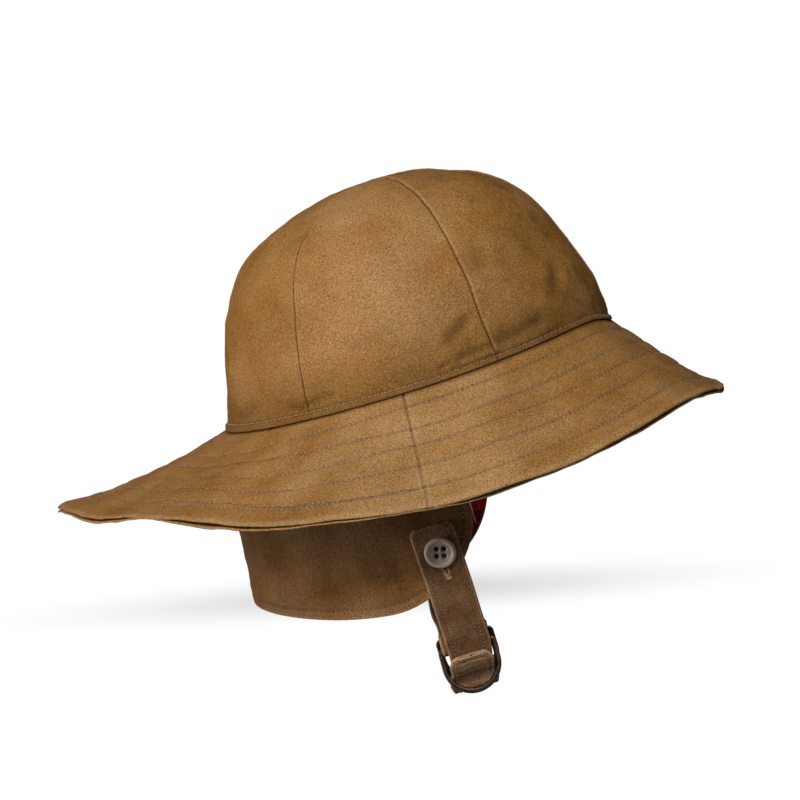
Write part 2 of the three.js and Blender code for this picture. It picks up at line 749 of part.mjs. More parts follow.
function addNode(name, geometry, colour) {
  const mesh = new THREE.Mesh(geometry, clothMaterial(colour));
  mesh.name = name;
  hat.add(mesh);
  return mesh;
}

const panelAngles = equalGirthAngles(crownPanels);
for (let i = 0; i < crownPanels; i += 1) {
  addNode(`crown_panel_${i + 1}`, crownPanelGeometry(panelAngles[i], panelAngles[i + 1]), colours.crown);
}

const [, leftSeam, , rightSeam] = equalGirthAngles(4);
const underDepth = clothWall + clothGap;
addNode("brim_front_upper", brimPlyGeometry(rightSeam - 360, leftSeam, 0), colours.brim);
addNode("brim_front_under", brimPlyGeometry(rightSeam - 360, leftSeam, underDepth), colours.brimUnder);
addNode("brim_back_upper", brimPlyGeometry(leftSeam, rightSeam, 0), colours.brim);
addNode("brim_back_under", brimPlyGeometry(leftSeam, rightSeam, underDepth), colours.brimUnder);

addNode("ear_flap", flapPlyGeometry(0, 0), colours.flap);
addNode("flap_lining", flapPlyGeometry(clothWall + clothGap, liningInset), colours.lining);

addNode("chin_strap_buttoned", buttonedStrapGeometry(), colours.strap);
const sewnStops = sewnStrapStops();
addNode("chin_strap_sewn", strapGeometry(sewnStops, evenSteps(sewnStops, 8), -1), colours.strap);

const backRing = ringMesh(backBar, 0);
backRing.name = "d_ring_back";
hat.add(backRing);
const frontRing = ringMesh(frontBar, ringTilt);
frontRing.name = "d_ring_front";
hat.add(frontRing);

const buttonSeat = onFlap(-1, buttonForward, buttonDrop, strapOut + strapThickness / 2 + clothGap);
const buttonFoot = onFlap(-1, buttonForward, buttonDrop, 0);
const button = addNode("button", buttonGeometry(), colours.button);
button.position.copy(buttonSeat);
const buttonAxis = buttonSeat.clone().sub(buttonFoot).normalize();
button.quaternion.setFromUnitVectors(new THREE.Vector3(0, 1, 0), buttonAxis);

export default hat;
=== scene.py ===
# The looks of the sou'wester hat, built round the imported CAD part.
# Shapes are worked out in millimetres in the part's own frame: +X the hat's front, +Y the wearer's left and
# +Z up.

import math

import bpy
import numpy as np
from mathutils import Matrix


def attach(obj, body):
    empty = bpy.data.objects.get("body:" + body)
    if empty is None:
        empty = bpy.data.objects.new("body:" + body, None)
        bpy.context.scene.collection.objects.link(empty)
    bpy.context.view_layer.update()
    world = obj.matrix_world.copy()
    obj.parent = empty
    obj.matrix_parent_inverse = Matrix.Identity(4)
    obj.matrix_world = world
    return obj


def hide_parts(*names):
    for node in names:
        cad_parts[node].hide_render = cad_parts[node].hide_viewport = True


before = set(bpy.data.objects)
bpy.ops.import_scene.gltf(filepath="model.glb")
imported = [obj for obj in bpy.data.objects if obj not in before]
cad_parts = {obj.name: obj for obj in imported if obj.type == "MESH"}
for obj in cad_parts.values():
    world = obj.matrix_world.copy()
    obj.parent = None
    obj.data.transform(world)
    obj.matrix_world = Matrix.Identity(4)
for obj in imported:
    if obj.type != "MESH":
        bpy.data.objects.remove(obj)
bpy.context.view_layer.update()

MM = 0.001

# Sizes that the CAD model states
OPENING_LENGTH = 204.9
OPENING_WIDTH = 167.9
OPENING_EGG = 0.075
SEAM_RISE_FRONT = 4.6
SEAM_RISE_BACK = 1.5
SEAM_DIP = 6.6
SEAM_DIP_RIGHT = 18
SEAM_DIP_LEFT = 28
CROWN_HEIGHT = 102.6
APEX_FORWARD = 7
PANEL_SWELL = 1.1
BRIM_FRONT = 67
BRIM_BACK = 96
BRIM_SEAM_BACK = 1.3
BRIM_SEAM_LEAN = 0.8
CLOTH_WALL = 1
CLOTH_GAP = 0.3
FLAP_DEPTH_SIDE = 105.5
FLAP_DEPTH_LEFT = 110
FLAP_DEPTH_BACK = 89
FLAP_TOP_RISE = 1.5
FLAP_FRONT = 13.4
FLAP_CORNER_LENGTH = 58
FLAP_CORNER_LENGTH_LEFT = 44
FLAP_CORNER_HEIGHT = 46
FLAP_FLARE = 16
FLAP_LEAN = 12
FLAP_LEAN_LEFT = 10
STRAP_WIDTH = 22.4
STRAP_THICKNESS = 2
STRAP_CLEARANCE = 0.7
STRAP_FORWARD = -9.6
STRAP_TOP = 65.5
STRAP_FLAP_DROP = 99
STRAP_CORNER = 4.5
FAR_STRAP_FORWARD = -26
FAR_STRAP_BOW = 2
FAR_STRAP_FOLD = 16
RING_WIRE = 2
RING_INNER = 26.4
RING_STRAIGHT = 10
RING_FORWARD = -13
RING_OUT = 47
RING_DROP = 128.2
RING_STEP_DOWN = 4.6
RING_STEP_OUT = 2.5
RING_TILT = 0.28
BUTTON_RADIUS = 7.9
BUTTON_THICKNESS = 3.4
BUTTON_DROP = 79.2
BUTTON_FORWARD = -8.6
BUTTON_TURN = 14
BUTTON_HOLE = 1.1
BUTTON_HOLE_OUT = 1.85
BUTTONHOLE_LENGTH = 15

# The crown's outline from the hem to the apex, as shares of its height and of the opening.
# share, rise, front, side, back
CROWN_OUTLINE = np.array([
    (0, 0, 1, 1, 1),
    (1 / 11, 0.05, 0.998, 1.004, 0.986),
    (2 / 11, 0.13, 0.992, 0.996, 0.967),
    (3 / 11, 0.28, 0.958, 0.966, 0.93),
    (4 / 11, 0.43, 0.905, 0.92, 0.883),
    (5 / 11, 0.57, 0.842, 0.86, 0.828),
    (6 / 11, 0.69, 0.772, 0.79, 0.766),
    (7 / 11, 0.79, 0.682, 0.7, 0.682),
    (8 / 11, 0.87, 0.57, 0.585, 0.54),
    (9 / 11, 0.93, 0.43, 0.44, 0.39),
    (10 / 11, 0.975, 0.26, 0.265, 0.225),
    (1, 1, 0, 0, 0),
])

# Broad dents in the crown. angle, rise, depth, reach round, reach up
CROWN_DENTS = [
    (-64, 0.22, 1.5, 13, 0.1),
    (-104, 0.17, 1.3, 16, 0.09),
    (-150, 0.3, 1.2, 12, 0.2),
    (-28, 0.5, 1.1, 12, 0.16),
    (40, 0.24, 1.4, 14, 0.12),
    (92, 0.3, 1.3, 15, 0.14),
    (148, 0.2, 1.4, 14, 0.12),
]

# Creases in the crown, each a line from an angle and a rise to another, with its depth and half width in mm
CROWN_CREASES = [
    (-74.4, 0.172, -68.4, 0.224, 1.0, 3.2),
    (-73.5, 0.074, -64.5, 0.082, 0.75, 2.0),
    (-79.5, 0.058, -77, 0.07, 0.5, 1.3),
    (-60.5, 0.088, -46.5, 0.108, 1.2, 4.2),
    (-57.5, 0.455, -55, 0.525, 0.5, 4.6),
    (-118.6, 0.072, -111, 0.088, 0.75, 2.4),
    (-124.6, 0.072, -121, 0.05, 0.6, 2.0),
    (-151, 0.07, -142, 0.1, 0.7, 3.2),
    (-101, 0.26, -88, 0.3, 0.5, 5.5),
    (-36, 0.2, -30, 0.3, 0.7, 4),
    (34, 0.1, 48, 0.12, 0.9, 4),
    (71, 0.08, 84, 0.1, 0.8, 3),
    (112, 0.07, 121, 0.1, 0.8, 2.6),
    (150, 0.09, 163, 0.08, 0.7, 3.4),
]
CREASE_MM_PER_DEGREE = 1.5

# The brim's slope in degrees round one side of the hat, and how much more it droops on the left.
# angle, droop, sweep, lip, left
BRIM_SECTIONS = np.array([
    (0, 48, 4, 22, 0),
    (10, 47.5, 4, 19, 1),
    (20, 46, 3, 12, 2),
    (30, 45.5, 2, 5, 2),
    (45, 49.5, 1, 2, 1),
    (60, 53, 0, 0, 0),
    (75, 53, 0, 0, 0),
    (90, 50.5, 0, 0, 0),
    (105, 41.5, 1, 0, 0),
    (120, 29.8, 3, 0, 1),
    (130, 20.3, 5, 0, 2),
    (140, 13.6, 7, 1, 3),
    (150, 10, 8, 2, 4),
    (160, 7, 8, 2, 5),
    (170, 6.4, 8, 3, 3.5),
    (180, 8, 8, 3, 0),
])
LIP_START = 0.84

# angle, rise, reach
BRIM_WAVES = [(166, 0.008, 6), (152, -0.012, 7), (141, 0.014, 7), (127, -0.008, 8)]

# Stitch rows of the brim's front half, as shares of its width
FRONT_ROWS = [0.117, 0.309, 0.457, 0.628, 0.824]

# Stitch rows of the brim's back half: the angle, then the rows' distances from the seam in mm. The first
# row runs out under the crown and the last two run together towards the side.
BACK_ROWS = np.array([
    (91, -1.1, 7.8, 20.7, 30.6, 42.1, 55.2, 55.3),
    (100, -1.1, 8.7, 20.4, 30.9, 42.6, 55.8, 55.95),
    (108, -1.1, 9.8, 21.6, 33.2, 44.6, 57.2, 57.6),
    (116, -1.1, 10.9, 23.0, 36.0, 47.3, 58.6, 60.5),
    (124, -1.1, 12.6, 24.5, 37.2, 48.4, 60.2, 63.4),
    (130, -0.8, 14.3, 25.6, 38.0, 49.2, 61.5, 65.6),
    (136, 0.9, 16.6, 26.9, 39.0, 50.5, 63.0, 68.0),
    (142, 3.8, 18.4, 28.1, 40.2, 52.0, 64.6, 70.4),
    (148, 5.8, 19.7, 29.8, 41.8, 53.6, 66.0, 72.6),
    (160, 8.3, 21.9, 33.0, 45.2, 57.0, 68.8, 77.2),
    (170, 9.6, 23.5, 35.6, 47.6, 59.6, 70.6, 80.2),
    (180, 10.0, 24.0, 36.5, 48.5, 60.5, 71.2, 81.0),
])

# The flap's section down its drop. drop, flare, lean
FLAP_SECTIONS = np.array([
    (0, 0, 0),
    (0.25, 0.36, 0.02),
    (0.5, 0.68, 0.16),
    (0.75, 0.88, 0.5),
    (1, 1, 1),
])

# angle, drop, depth, reach round, reach down
FLAP_DENTS = [(112, 0.72, 0.14, 7, 0.16), (128, 0.86, 0.12, 8, 0.1), (146, 0.68, 0.16, 7, 0.22)]

# The buttoned strap's way through the rings: out, up, centred, half
THREADING = [
    (0.84, 1.46, 0.35, 1),
    (0.6, 1.0, 0.6, 0.96),
    (0.3, 0.74, 0.85, 0.93),
    (0.02, 0.66, 1, 0.92),
    (-0.2, 0.5, 1, 0.95),
    (-0.23, 0.12, 1.1, 1),
    (-0.17, -0.1, 1.2, 0.99),
    (0, -0.21, 1.3, 0.97),
    (0.17, -0.12, 1.25, 0.97),
    (0.24, 0.07, 1.15, 0.95),
    (0.42, 0.34, 1, 0.95),
    (0.68, 0.57, 0.85, 1),
    (0.9, 0.82, 0.7, 1.03),
    (0.98, 0.95, 0.65, 0.98),
    (1.03, 1.07, 0.6, 0.87),
    (1.08, 1.15, 0.55, 0.66),
    (1.1, 1.19, 0.55, 0.34),
]


# Small helpers
def unit(vectors):
    return vectors / np.maximum(np.linalg.norm(vectors, axis=-1, keepdims=True), 1e-12)


def bump(away, reach):
    return np.exp(-((away / reach) ** 2))


def smooth(value, start, end):
    t = np.clip((value - start) / (end - start), 0, 1)
    return t * t * (3 - 2 * t)


def mix(a, b, t):
    return a + (b - a) * t


# An angle turned to lie between -180 and 180 degrees.
def signed(angle):
    return np.mod(angle + 180, 360) - 180


def side_angle(angle):
    return np.abs(signed(angle))


def is_left(angle):
    return np.sin(np.radians(angle)) > 0


def read_table(rows, column, value):
    keys = rows[:, 0]
    values = rows[:, column]
    value = np.asarray(value, float)
    last = len(keys) - 1
    i = np.clip(np.searchsorted(keys, value, side="left") - 1, 0, last - 1)
    k = np.arange(last + 1)
    before = np.maximum(k - 1, 0)
    after = np.minimum(k + 1, last)
    slopes = (values[after] - values[before]) / (keys[after] - keys[before])
    span = keys[i + 1] - keys[i]
    t = np.clip((value - keys[i]) / span, 0, 1)
    t2 = t * t
    t3 = t2 * t
    return (
        values[i] * (2 * t3 - 3 * t2 + 1)
        + slopes[i] * span * (t3 - 2 * t2 + t)
        + values[i + 1] * (3 * t2 - 2 * t3)
        + slopes[i + 1] * span * (t3 - t2)
    )


# Lengths along a path of points, from 0 at its start.
def running_length(points):
    return np.concatenate([[0], np.cumsum(np.linalg.norm(np.diff(points, axis=0), axis=1))])


# Soft noise between about -1 and 1, made of plane waves about size mm long.
def waves(points, size, seed, count=10):
    random = np.random.default_rng(seed)
    directions = unit(random.normal(size=(count, 3)))
    rates = 2 * np.pi / size * random.uniform(0.7, 1.4, count)
    phases = random.uniform(0, 2 * np.pi, count)
    total = 0
    for direction, rate, phase in zip(directions, rates, phases):
        total += np.sin(points @ direction * rate + phase)
    return total / math.sqrt(count)


# Distance from points to a line between two ends, all in a flat plane.
def line_distance(x, y, x0, y0, x1, y1):
    length2 = (x1 - x0) ** 2 + (y1 - y0) ** 2
    t = np.clip(((x - x0) * (x1 - x0) + (y - y0) * (y1 - y0)) / length2, 0, 1)
    return np.hypot(x - x0 - t * (x1 - x0), y - y0 - t * (y1 - y0))


# Positions between two ends that crowd at both: margins are the first steps from either end, then come even
# steps.
def crowded(length, margins, spacing):
    start = np.concatenate([[0], margins])
    inner = length - 2 * start[-1]
    count = max(2, int(round(inner / spacing)))
    middle = start[-1] + inner * np.arange(1, count) / count
    return np.concatenate([start, middle, (length - start)[::-1]])


# The seam between crown and brim
def seam_point(angle, inset=0):
    a = np.radians(angle)
    c = np.cos(a)
    s = np.sin(a)
    rise = np.where(c > 0, SEAM_RISE_FRONT, SEAM_RISE_BACK)
    reach = np.where(s > 0, SEAM_DIP_LEFT, SEAM_DIP_RIGHT)
    dip = SEAM_DIP * bump(side_angle(angle), reach)
    x = (OPENING_LENGTH / 2 - inset) * c
    y = (OPENING_WIDTH / 2 - inset) * s * (1 - OPENING_EGG * c)
    return np.stack([x, y, rise * c * c - dip + 0 * x], -1)


def seam_outward(angle):
    along = seam_point(angle + 0.05) - seam_point(angle - 0.05)
    return unit(np.stack([along[..., 1], -along[..., 0], 0 * along[..., 0]], -1))


def equal_girth(parts):
    angles = np.linspace(0, 360, 721)
    lengths = running_length(seam_point(angles)[:, :2])
    return np.interp(np.linspace(0, lengths[-1], parts + 1), lengths, angles), lengths[-1]


PANEL_ANGLES, GIRTH = equal_girth(6)


def base_normals(base, a, b, steps):
    da, db = steps
    across = base(a + da, b) - base(a - da, b)
    along = base(a, b + db) - base(a, b - db)
    return unit(np.cross(across, along))


# A cloth surface: base gives its points, relief gives how far each stands out, how rubbed it is with any
# painted highlight, and how grimy it is with any painted shade. facing is -1 where the two directions of
# the surface would give a normal into the cloth.
class Cloth:
    def __init__(self, base, relief, steps, facing):
        self.base = base
        self.relief = relief
        self.steps = steps
        self.facing = facing

    def at(self, a, b):
        points = self.base(a, b)
        normals = base_normals(self.base, a, b, self.steps) * self.facing
        height, rub_and_highlight, grime_and_shade = self.relief(a, b, points)
        return points + normals * height[..., None], normals, rub_and_highlight, grime_and_shade


# Crown
def crown_base(angle, share):
    c = np.cos(np.radians(angle))
    end = np.where(c > 0, read_table(CROWN_OUTLINE, 2, share), read_table(CROWN_OUTLINE, 4, share))
    spread = end * c * c + read_table(CROWN_OUTLINE, 3, share) * (1 - c * c)
    rise = read_table(CROWN_OUTLINE, 1, share)
    seam = seam_point(angle)
    turned = np.mod(angle, 360)
    panel = np.clip(np.searchsorted(PANEL_ANGLES, turned, side="right") - 1, 0, 5)
    s = (turned - PANEL_ANGLES[panel]) / (PANEL_ANGLES[panel + 1] - PANEL_ANGLES[panel])
    swell = PANEL_SWELL * 4 * s * (1 - s) * np.sin(np.pi * np.minimum(1, spread))
    for at, height, depth, reach, up in CROWN_DENTS:
        away = signed(angle - at)
        swell -= PANEL_SWELL * depth * bump(away, reach) * bump(rise - height, up)
    outward = seam_outward(angle)
    x = APEX_FORWARD + (seam[..., 0] - APEX_FORWARD) * spread + outward[..., 0] * swell
    y = seam[..., 1] * spread + outward[..., 1] * swell
    z = seam[..., 2] + (CROWN_HEIGHT - seam[..., 2]) * rise
    return np.stack([x, y, z], -1)


# How high the hem's topstitch runs, a little lower at the front than at the back.
def hem_stitch_height(angle):
    return mix(2.5, 3.7, smooth(side_angle(angle), 50, 150))


def crown_relief(angle, share, points):
    rise = read_table(CROWN_OUTLINE, 1, share)
    above = rise * (CROWN_HEIGHT - seam_point(angle)[..., 2])
    radius = np.hypot(points[..., 0] - APEX_FORWARD, points[..., 1])
    per_degree = np.radians(radius)
    turned = np.mod(angle, 360)
    near_top = smooth(radius, 1, 16)
    height = 0.6 * waves(points, 46, 3) + 0.2 * waves(points, 15, 4) + 0.06 * waves(points, 5.5, 5)
    height = height * smooth(above, 3, 14) * near_top
    # Rub is patchy wear, plus a painted highlight: a soft sheen on the sides, about ninety degrees round.
    rub_and_highlight = 0.1 + 0.14 * waves(points, 40, 6) + 0.55 * bump(side_angle(angle) - 92, 30) * smooth(above, 4, 36)
    # Painted shade: darker towards the hem, next to the brim.
    grime_and_shade = 0.34 * (1 - smooth(above, 2, 30))

    for k, seam_angle in enumerate(PANEL_ANGLES[:6]):
        away = signed(turned - seam_angle)
        front = -1 if 0 < seam_angle < 180 else 1
        d = away * per_degree * front
        size = near_top * smooth(above, 3.4, 6)
        beat = np.sin(2 * np.pi * above / 2.4 + k + 1.4 * waves(points, 11, 11))
        groove = 0.5 * bump(d, 0.3) * (1 + 0.45 * beat)
        ridges = 0.2 * bump(d - 1.0, 0.65) + 0.08 * bump(d + 1.1, 0.65) + 0.07 * beat * bump(d, 3.2)
        allowance = 0.34 * (smooth(d, 0.3, 1.2) - smooth(d, 4.6, 8.2))
        height += size * (ridges + allowance - groove)
        # Painted highlight along the ridge beside each seam; the seam line itself is dark.
        rub_and_highlight += 0.35 * size * bump(d - 1.0, 0.6)
        grime_and_shade += (0.75 + 0.25 * beat) * mix(0.5, 1, size) * bump(d, 0.3)

    stitch = hem_stitch_height(angle)
    clouds = smooth(waves(points, 22, 12), 0.1, 1.4) + smooth(waves(points, 8, 13), 0.2, 1.5)
    grime_and_shade += 0.2 * clouds * bump(side_angle(angle) - 20, 38)
    arc = turned / 360 * GIRTH
    band = 1.15 * (1 - smooth(above, stitch - 1.2, stitch + 0.7)) * smooth(above, -0.9, 0.7)
    groove = 0.34 * bump(above - stitch, 0.42)
    gathers = np.sin(2 * np.pi * arc / 3.1 + 2.2 * waves(points, 24, 8)) + 0.5 * waves(points, 4, 9)
    fade = smooth(above, stitch, stitch + 1) * np.exp(-np.maximum(above - stitch, 0) / 3.6)
    below = np.clip((stitch - above) / stitch, 0, 1)
    height += band - groove + 0.17 * gathers * fade + 0.09 * gathers * below
    rub_and_highlight += 0.12 * below + 0.2 * gathers * fade
    grime_and_shade += 0.35 * bump(above - stitch, 0.6)

    x = signed(angle) * CREASE_MM_PER_DEGREE
    y = rise * CROWN_HEIGHT
    for a0, r0, a1, r1, depth, half in CROWN_CREASES:
        start = (a0 * CREASE_MM_PER_DEGREE, r0 * CROWN_HEIGHT)
        end = (a1 * CREASE_MM_PER_DEGREE, r1 * CROWN_HEIGHT)
        near = line_distance(x, y, *start, *end)
        fold = 0.45 * bump(near - 1.7 * half, 0.8 * half) - 1.5 * bump(near, 0.8 * half)
        height += fold * depth * smooth(above, stitch, stitch + 2.5)
        # Painted shade in each crease.
        grime_and_shade += 0.26 * depth * bump(near, half * 0.5) * smooth(above, stitch, stitch + 2.5)
    return height, rub_and_highlight, grime_and_shade


crown = Cloth(crown_base, crown_relief, (0.05, 0.002), 1)


# Brim
def brim_width(angle):
    wave = (1 - np.cos(np.radians(2 * side_angle(angle)))) / 2
    end = np.where(side_angle(angle) <= 90, BRIM_FRONT, BRIM_BACK)
    return mix(end, BRIM_FRONT, wave)


# The brim's upper surface at a distance from the seam down the slope. Under the crown it runs level.
def brim_base(angle, distance):
    a = side_angle(angle)
    left = np.where(is_left(angle), read_table(BRIM_SECTIONS, 4, a), 0)
    droop = read_table(BRIM_SECTIONS, 1, a) + left
    sweep = read_table(BRIM_SECTIONS, 2, a)
    lip = read_table(BRIM_SECTIONS, 3, a)
    width = brim_width(angle)
    share = np.maximum(distance, 0) / width
    out = np.minimum(distance, 0)
    down = 0 * distance
    steps = 12
    for i in range(steps):
        here = share * (i + 0.5) / steps
        slope = np.radians(droop + sweep * (1 - 2 * here) - lip * smooth(here, LIP_START, 1))
        out += np.cos(slope) * width * share / steps
        down += np.sin(slope) * width * share / steps
    for at, rise, reach in BRIM_WAVES:
        down -= rise * BRIM_BACK * bump(a - at, reach) * share * share
    point = seam_point(angle) + seam_outward(angle) * out[..., None]
    point[..., 2] -= down + CLOTH_GAP
    return point


# Distances of the stitch rows from the seam, one array for each row.
def stitch_rows(angle, back):
    a = side_angle(angle)
    width = brim_width(angle)
    if not back:
        return [share * width for share in FRONT_ROWS]
    ring = seam_point(angle) * 1.6
    rows = []
    for k in range(7):
        row = read_table(BACK_ROWS, k + 1, a)
        sway = 0.55 * waves(ring + 40 * k, 34, 21) * smooth(a, 105, 135)
        rows.append(row + sway * smooth(row, 0, 6))
    rows[6] = np.maximum(rows[6], rows[5] + 0.12)
    return rows


# The side seam's angle at a share of the brim's width.
def brim_seam_angle(angle, share):
    return angle + (BRIM_SEAM_BACK + BRIM_SEAM_LEAN * share) * np.sign(np.sin(np.radians(angle)))


# The brim runs on under the crown for a little, and its side seam is marked at this angle.
BRIM_START = -1.2
SEAM_MARK_ANGLE = 90.2


def brim_relief(back, under):
    def relief(angle, distance, points):
        width = brim_width(angle)
        rows = stitch_rows(angle, back)
        bounds = [np.full_like(width, BRIM_START)] + rows + [width]
        height = 0 * width
        grime_and_shade = 0 * width
        # Rub is patchy wear, plus a painted highlight: a soft sheen on the sides, about ninety degrees round.
        rub_and_highlight = 0.1 + 0.15 * waves(points, 30, 31) + 0.5 * bump(side_angle(angle) - 90, 26)
        seed = 40 if under else 32
        for k in range(len(bounds) - 1):
            gap = np.maximum(bounds[k + 1] - bounds[k], 0.05)
            f = np.clip((distance - bounds[k]) / gap, 0, 1)
            swell = 0.46 * np.minimum(gap / 11, 1) * (1 - 0.2 * (k == len(bounds) - 2))
            height += swell * np.sin(np.pi * f) ** 0.75
        arc = np.radians(angle) * np.hypot(points[..., 0], points[..., 1])
        for k, row in enumerate(rows):
            near = bump(distance - row, 0.5)
            ripple = np.sin(2 * np.pi * arc / 2.5 + k)
            height = height - 0.3 * near + 0.09 * ripple * bump(distance - row, 2.2)
            grime_and_shade += 0.42 * near
        broad = 0.6 * waves(points, 55, seed) + 0.24 * waves(points, 17, seed + 1)
        fine = 0.07 * waves(points, 6, seed + 2)
        height += (broad + fine) * smooth(distance, 2, 14)
        a = side_angle(angle)
        turn = np.radians(a) * 26 + 1.3 * waves(points, 60, seed + 3)
        folds = 0.55 * np.sin(turn) * smooth(a, 128, 150)
        height += folds * smooth(distance, 10, 60) * (0.8 - 0.4 * smooth(distance, 60, 90))
        share = np.clip(distance / width, 0, 1)
        on_seam = brim_seam_angle(np.where(is_left(angle), SEAM_MARK_ANGLE, -SEAM_MARK_ANGLE), share)
        d = side_angle(angle - on_seam) * np.radians(np.hypot(points[..., 0], points[..., 1]))
        height = height - 0.45 * bump(d, 0.35) + 0.2 * bump(d - 1.3, 0.7)
        grime_and_shade += 0.9 * bump(d, 0.35)
        rub_and_highlight += 0.25 * bump(d - 1.3, 0.8)
        from_edge = width - distance
        if under:
            height += 0.25 * (1 - smooth(from_edge, 0, 4))
            rub_and_highlight += 0.75 * (1 - smooth(from_edge, 0, 1.6))
        else:
            height += 0.2 * bump(from_edge - 2.3, 1.4) - 0.35 * (1 - smooth(from_edge, -0.2, 1.3))
            # On the upper ply, a painted highlight on the rolled edge and painted shade at its very edge.
            rub_and_highlight += 0.55 * bump(from_edge - 1.9, 1.6)
            grime_and_shade += 0.55 * (1 - smooth(from_edge, 0.1, 0.9))
            # Painted shadow along the seam, under the crown's hem.
            grime_and_shade += 0.7 * (1 - smooth(distance, 0.8, 2))
        return height, rub_and_highlight, grime_and_shade

    return relief


UNDER_DEPTH = 2 * CLOTH_WALL + CLOTH_GAP
ANGLE_AND_MM_STEPS = (0.05, 0.1)


# The underside: the upper surface moved in by the brim's whole thickness.
def brim_under_base(angle, distance):
    inward = base_normals(brim_base, angle, distance, ANGLE_AND_MM_STEPS)
    return brim_base(angle, distance) + inward * UNDER_DEPTH


brim_cloths = {}
for part in ("front", "back"):
    upper_relief = brim_relief(part == "back", False)
    under_relief = brim_relief(part == "back", True)
    brim_cloths[part, "upper"] = Cloth(brim_base, upper_relief, ANGLE_AND_MM_STEPS, -1)
    brim_cloths[part, "under"] = Cloth(brim_under_base, under_relief, ANGLE_AND_MM_STEPS, 1)

# Ear and neck flap
STEEPEST = (BRIM_SECTIONS[:, 1] + BRIM_SECTIONS[:, 2]).max()
FLAP_INSET = (2 * CLOTH_WALL + CLOTH_GAP) * math.sin(math.radians(STEEPEST)) + CLOTH_GAP
FLAP_ANGLE = math.degrees(math.acos(FLAP_FRONT / (OPENING_LENGTH / 2 - FLAP_INSET)))


def flap_full_depth(angle):
    side = np.where(is_left(angle), FLAP_DEPTH_LEFT, FLAP_DEPTH_SIDE)
    return mix(side, FLAP_DEPTH_BACK, smooth(side_angle(angle), 110, 180))


def flap_depth(angle):
    length = np.where(is_left(angle), FLAP_CORNER_LENGTH_LEFT, FLAP_CORNER_LENGTH)
    e = np.clip((seam_point(angle, FLAP_INSET)[..., 0] - FLAP_FRONT + length) / length, 0, 1)
    return flap_full_depth(angle) - FLAP_CORNER_HEIGHT * (1 - np.sqrt(1 - e * e))


def flap_base(angle, drop):
    share = np.clip(drop / flap_full_depth(angle), 0, 1.1)
    behind = np.minimum(np.cos(np.radians(angle)), 0) ** 2
    out = read_table(FLAP_SECTIONS, 1, share) * FLAP_FLARE * behind
    lean = np.where(is_left(angle), FLAP_LEAN_LEFT, FLAP_LEAN)
    out -= read_table(FLAP_SECTIONS, 2, share) * lean * (1 - behind)
    for at, down, depth, reach, spread in FLAP_DENTS:
        out -= depth * FLAP_LEAN * bump(side_angle(angle) - at, reach) * bump(share - down, spread)
    point = seam_point(angle, FLAP_INSET) + seam_outward(angle) * out[..., None]
    point[..., 2] -= drop
    return point


# The flap laid flat: arc length along the top, and drop. Its outline runs down one front edge, round and
# up the other.
flap_angles = np.linspace(FLAP_ANGLE - 4, 364 - FLAP_ANGLE, 1400)
flap_arcs = running_length(seam_point(flap_angles, FLAP_INSET)[:, :2])


def flap_arc(angle):
    return np.interp(angle, flap_angles, flap_arcs)


def flap_angle_at(arc):
    return np.interp(arc, flap_arcs, flap_angles)


def flap_outline():
    shares = (1 - np.cos(np.linspace(0, np.pi, 900))) / 2
    angles = mix(FLAP_ANGLE, 360 - FLAP_ANGLE, shares)
    depths = flap_depth(angles)
    down = np.linspace(-FLAP_TOP_RISE, depths[0], 60)[:-1]
    front = flap_arc(FLAP_ANGLE)
    rear = flap_arc(360 - FLAP_ANGLE)
    x = np.concatenate([np.full(59, front), flap_arc(angles), np.full(59, rear)])
    y = np.concatenate([down, depths, down[::-1]])
    return x, y


FLAP_X, FLAP_Y = flap_outline()
HEM_IN = 4.7


def flap_edge_distance(angle, drop):
    x = flap_arc(angle).ravel()
    y = np.asarray(drop, float).ravel()
    result = np.empty(len(x))
    for start in range(0, len(x), 4000):
        part = slice(start, start + 4000)
        gaps = np.hypot(x[part, None] - FLAP_X[None], y[part, None] - FLAP_Y[None])
        result[part] = gaps.min(axis=1)
    return result.reshape(np.shape(drop))


def flap_relief(angle, drop, points):
    edge = flap_edge_distance(angle, drop)
    height = 0.7 * waves(points, 44, 51) + 0.25 * waves(points, 15, 52) + 0.07 * waves(points, 6, 53)
    height = height * smooth(edge, 0, 9) * smooth(drop, 2, 20)
    groove = bump(edge - HEM_IN, 0.5)
    height += 0.25 * (1 - smooth(edge, HEM_IN - 1, HEM_IN + 1)) - 0.3 * groove
    arc = flap_arc(angle)
    height += 0.06 * np.sin(2 * np.pi * arc / 2.7) * bump(edge - HEM_IN, 2)
    rub_and_highlight = 0.16 + 0.16 * waves(points, 32, 54)
    # Painted highlight along the flap's edges.
    rub_and_highlight += 0.75 * (1 - smooth(edge, 0, 1.5)) + 0.12 * (1 - smooth(edge, 3, 5))
    # Darker in the hem's groove; painted shadow of the brim over the flap's top, fading out from 56 to 88 mm
    # down.
    return height, rub_and_highlight, 0.45 * groove + 0.58 * (1 - smooth(drop, 56, 88))


flap = Cloth(flap_base, flap_relief, ANGLE_AND_MM_STEPS, -1)


# The lining lies inside the flap, a gap away.
def lining_base(angle, drop):
    inward = base_normals(flap_base, angle, drop, ANGLE_AND_MM_STEPS)
    return flap_base(angle, drop) + inward * UNDER_DEPTH


def lining_relief(angle, drop, points):
    edge = flap_edge_distance(angle, drop)
    height = 0.08 * waves(points, 8, 62) - 0.7 * waves(points, 44, 51) - 0.25 * waves(points, 15, 52)
    height = height * smooth(edge, 0, 9) * smooth(drop, 2, 20) - 0.3 * (1 - smooth(edge, 1, 3))
    return height, 0.3 + 0.3 * waves(points, 26, 63), 0 * edge


lining = Cloth(lining_base, lining_relief, ANGLE_AND_MM_STEPS, 1)


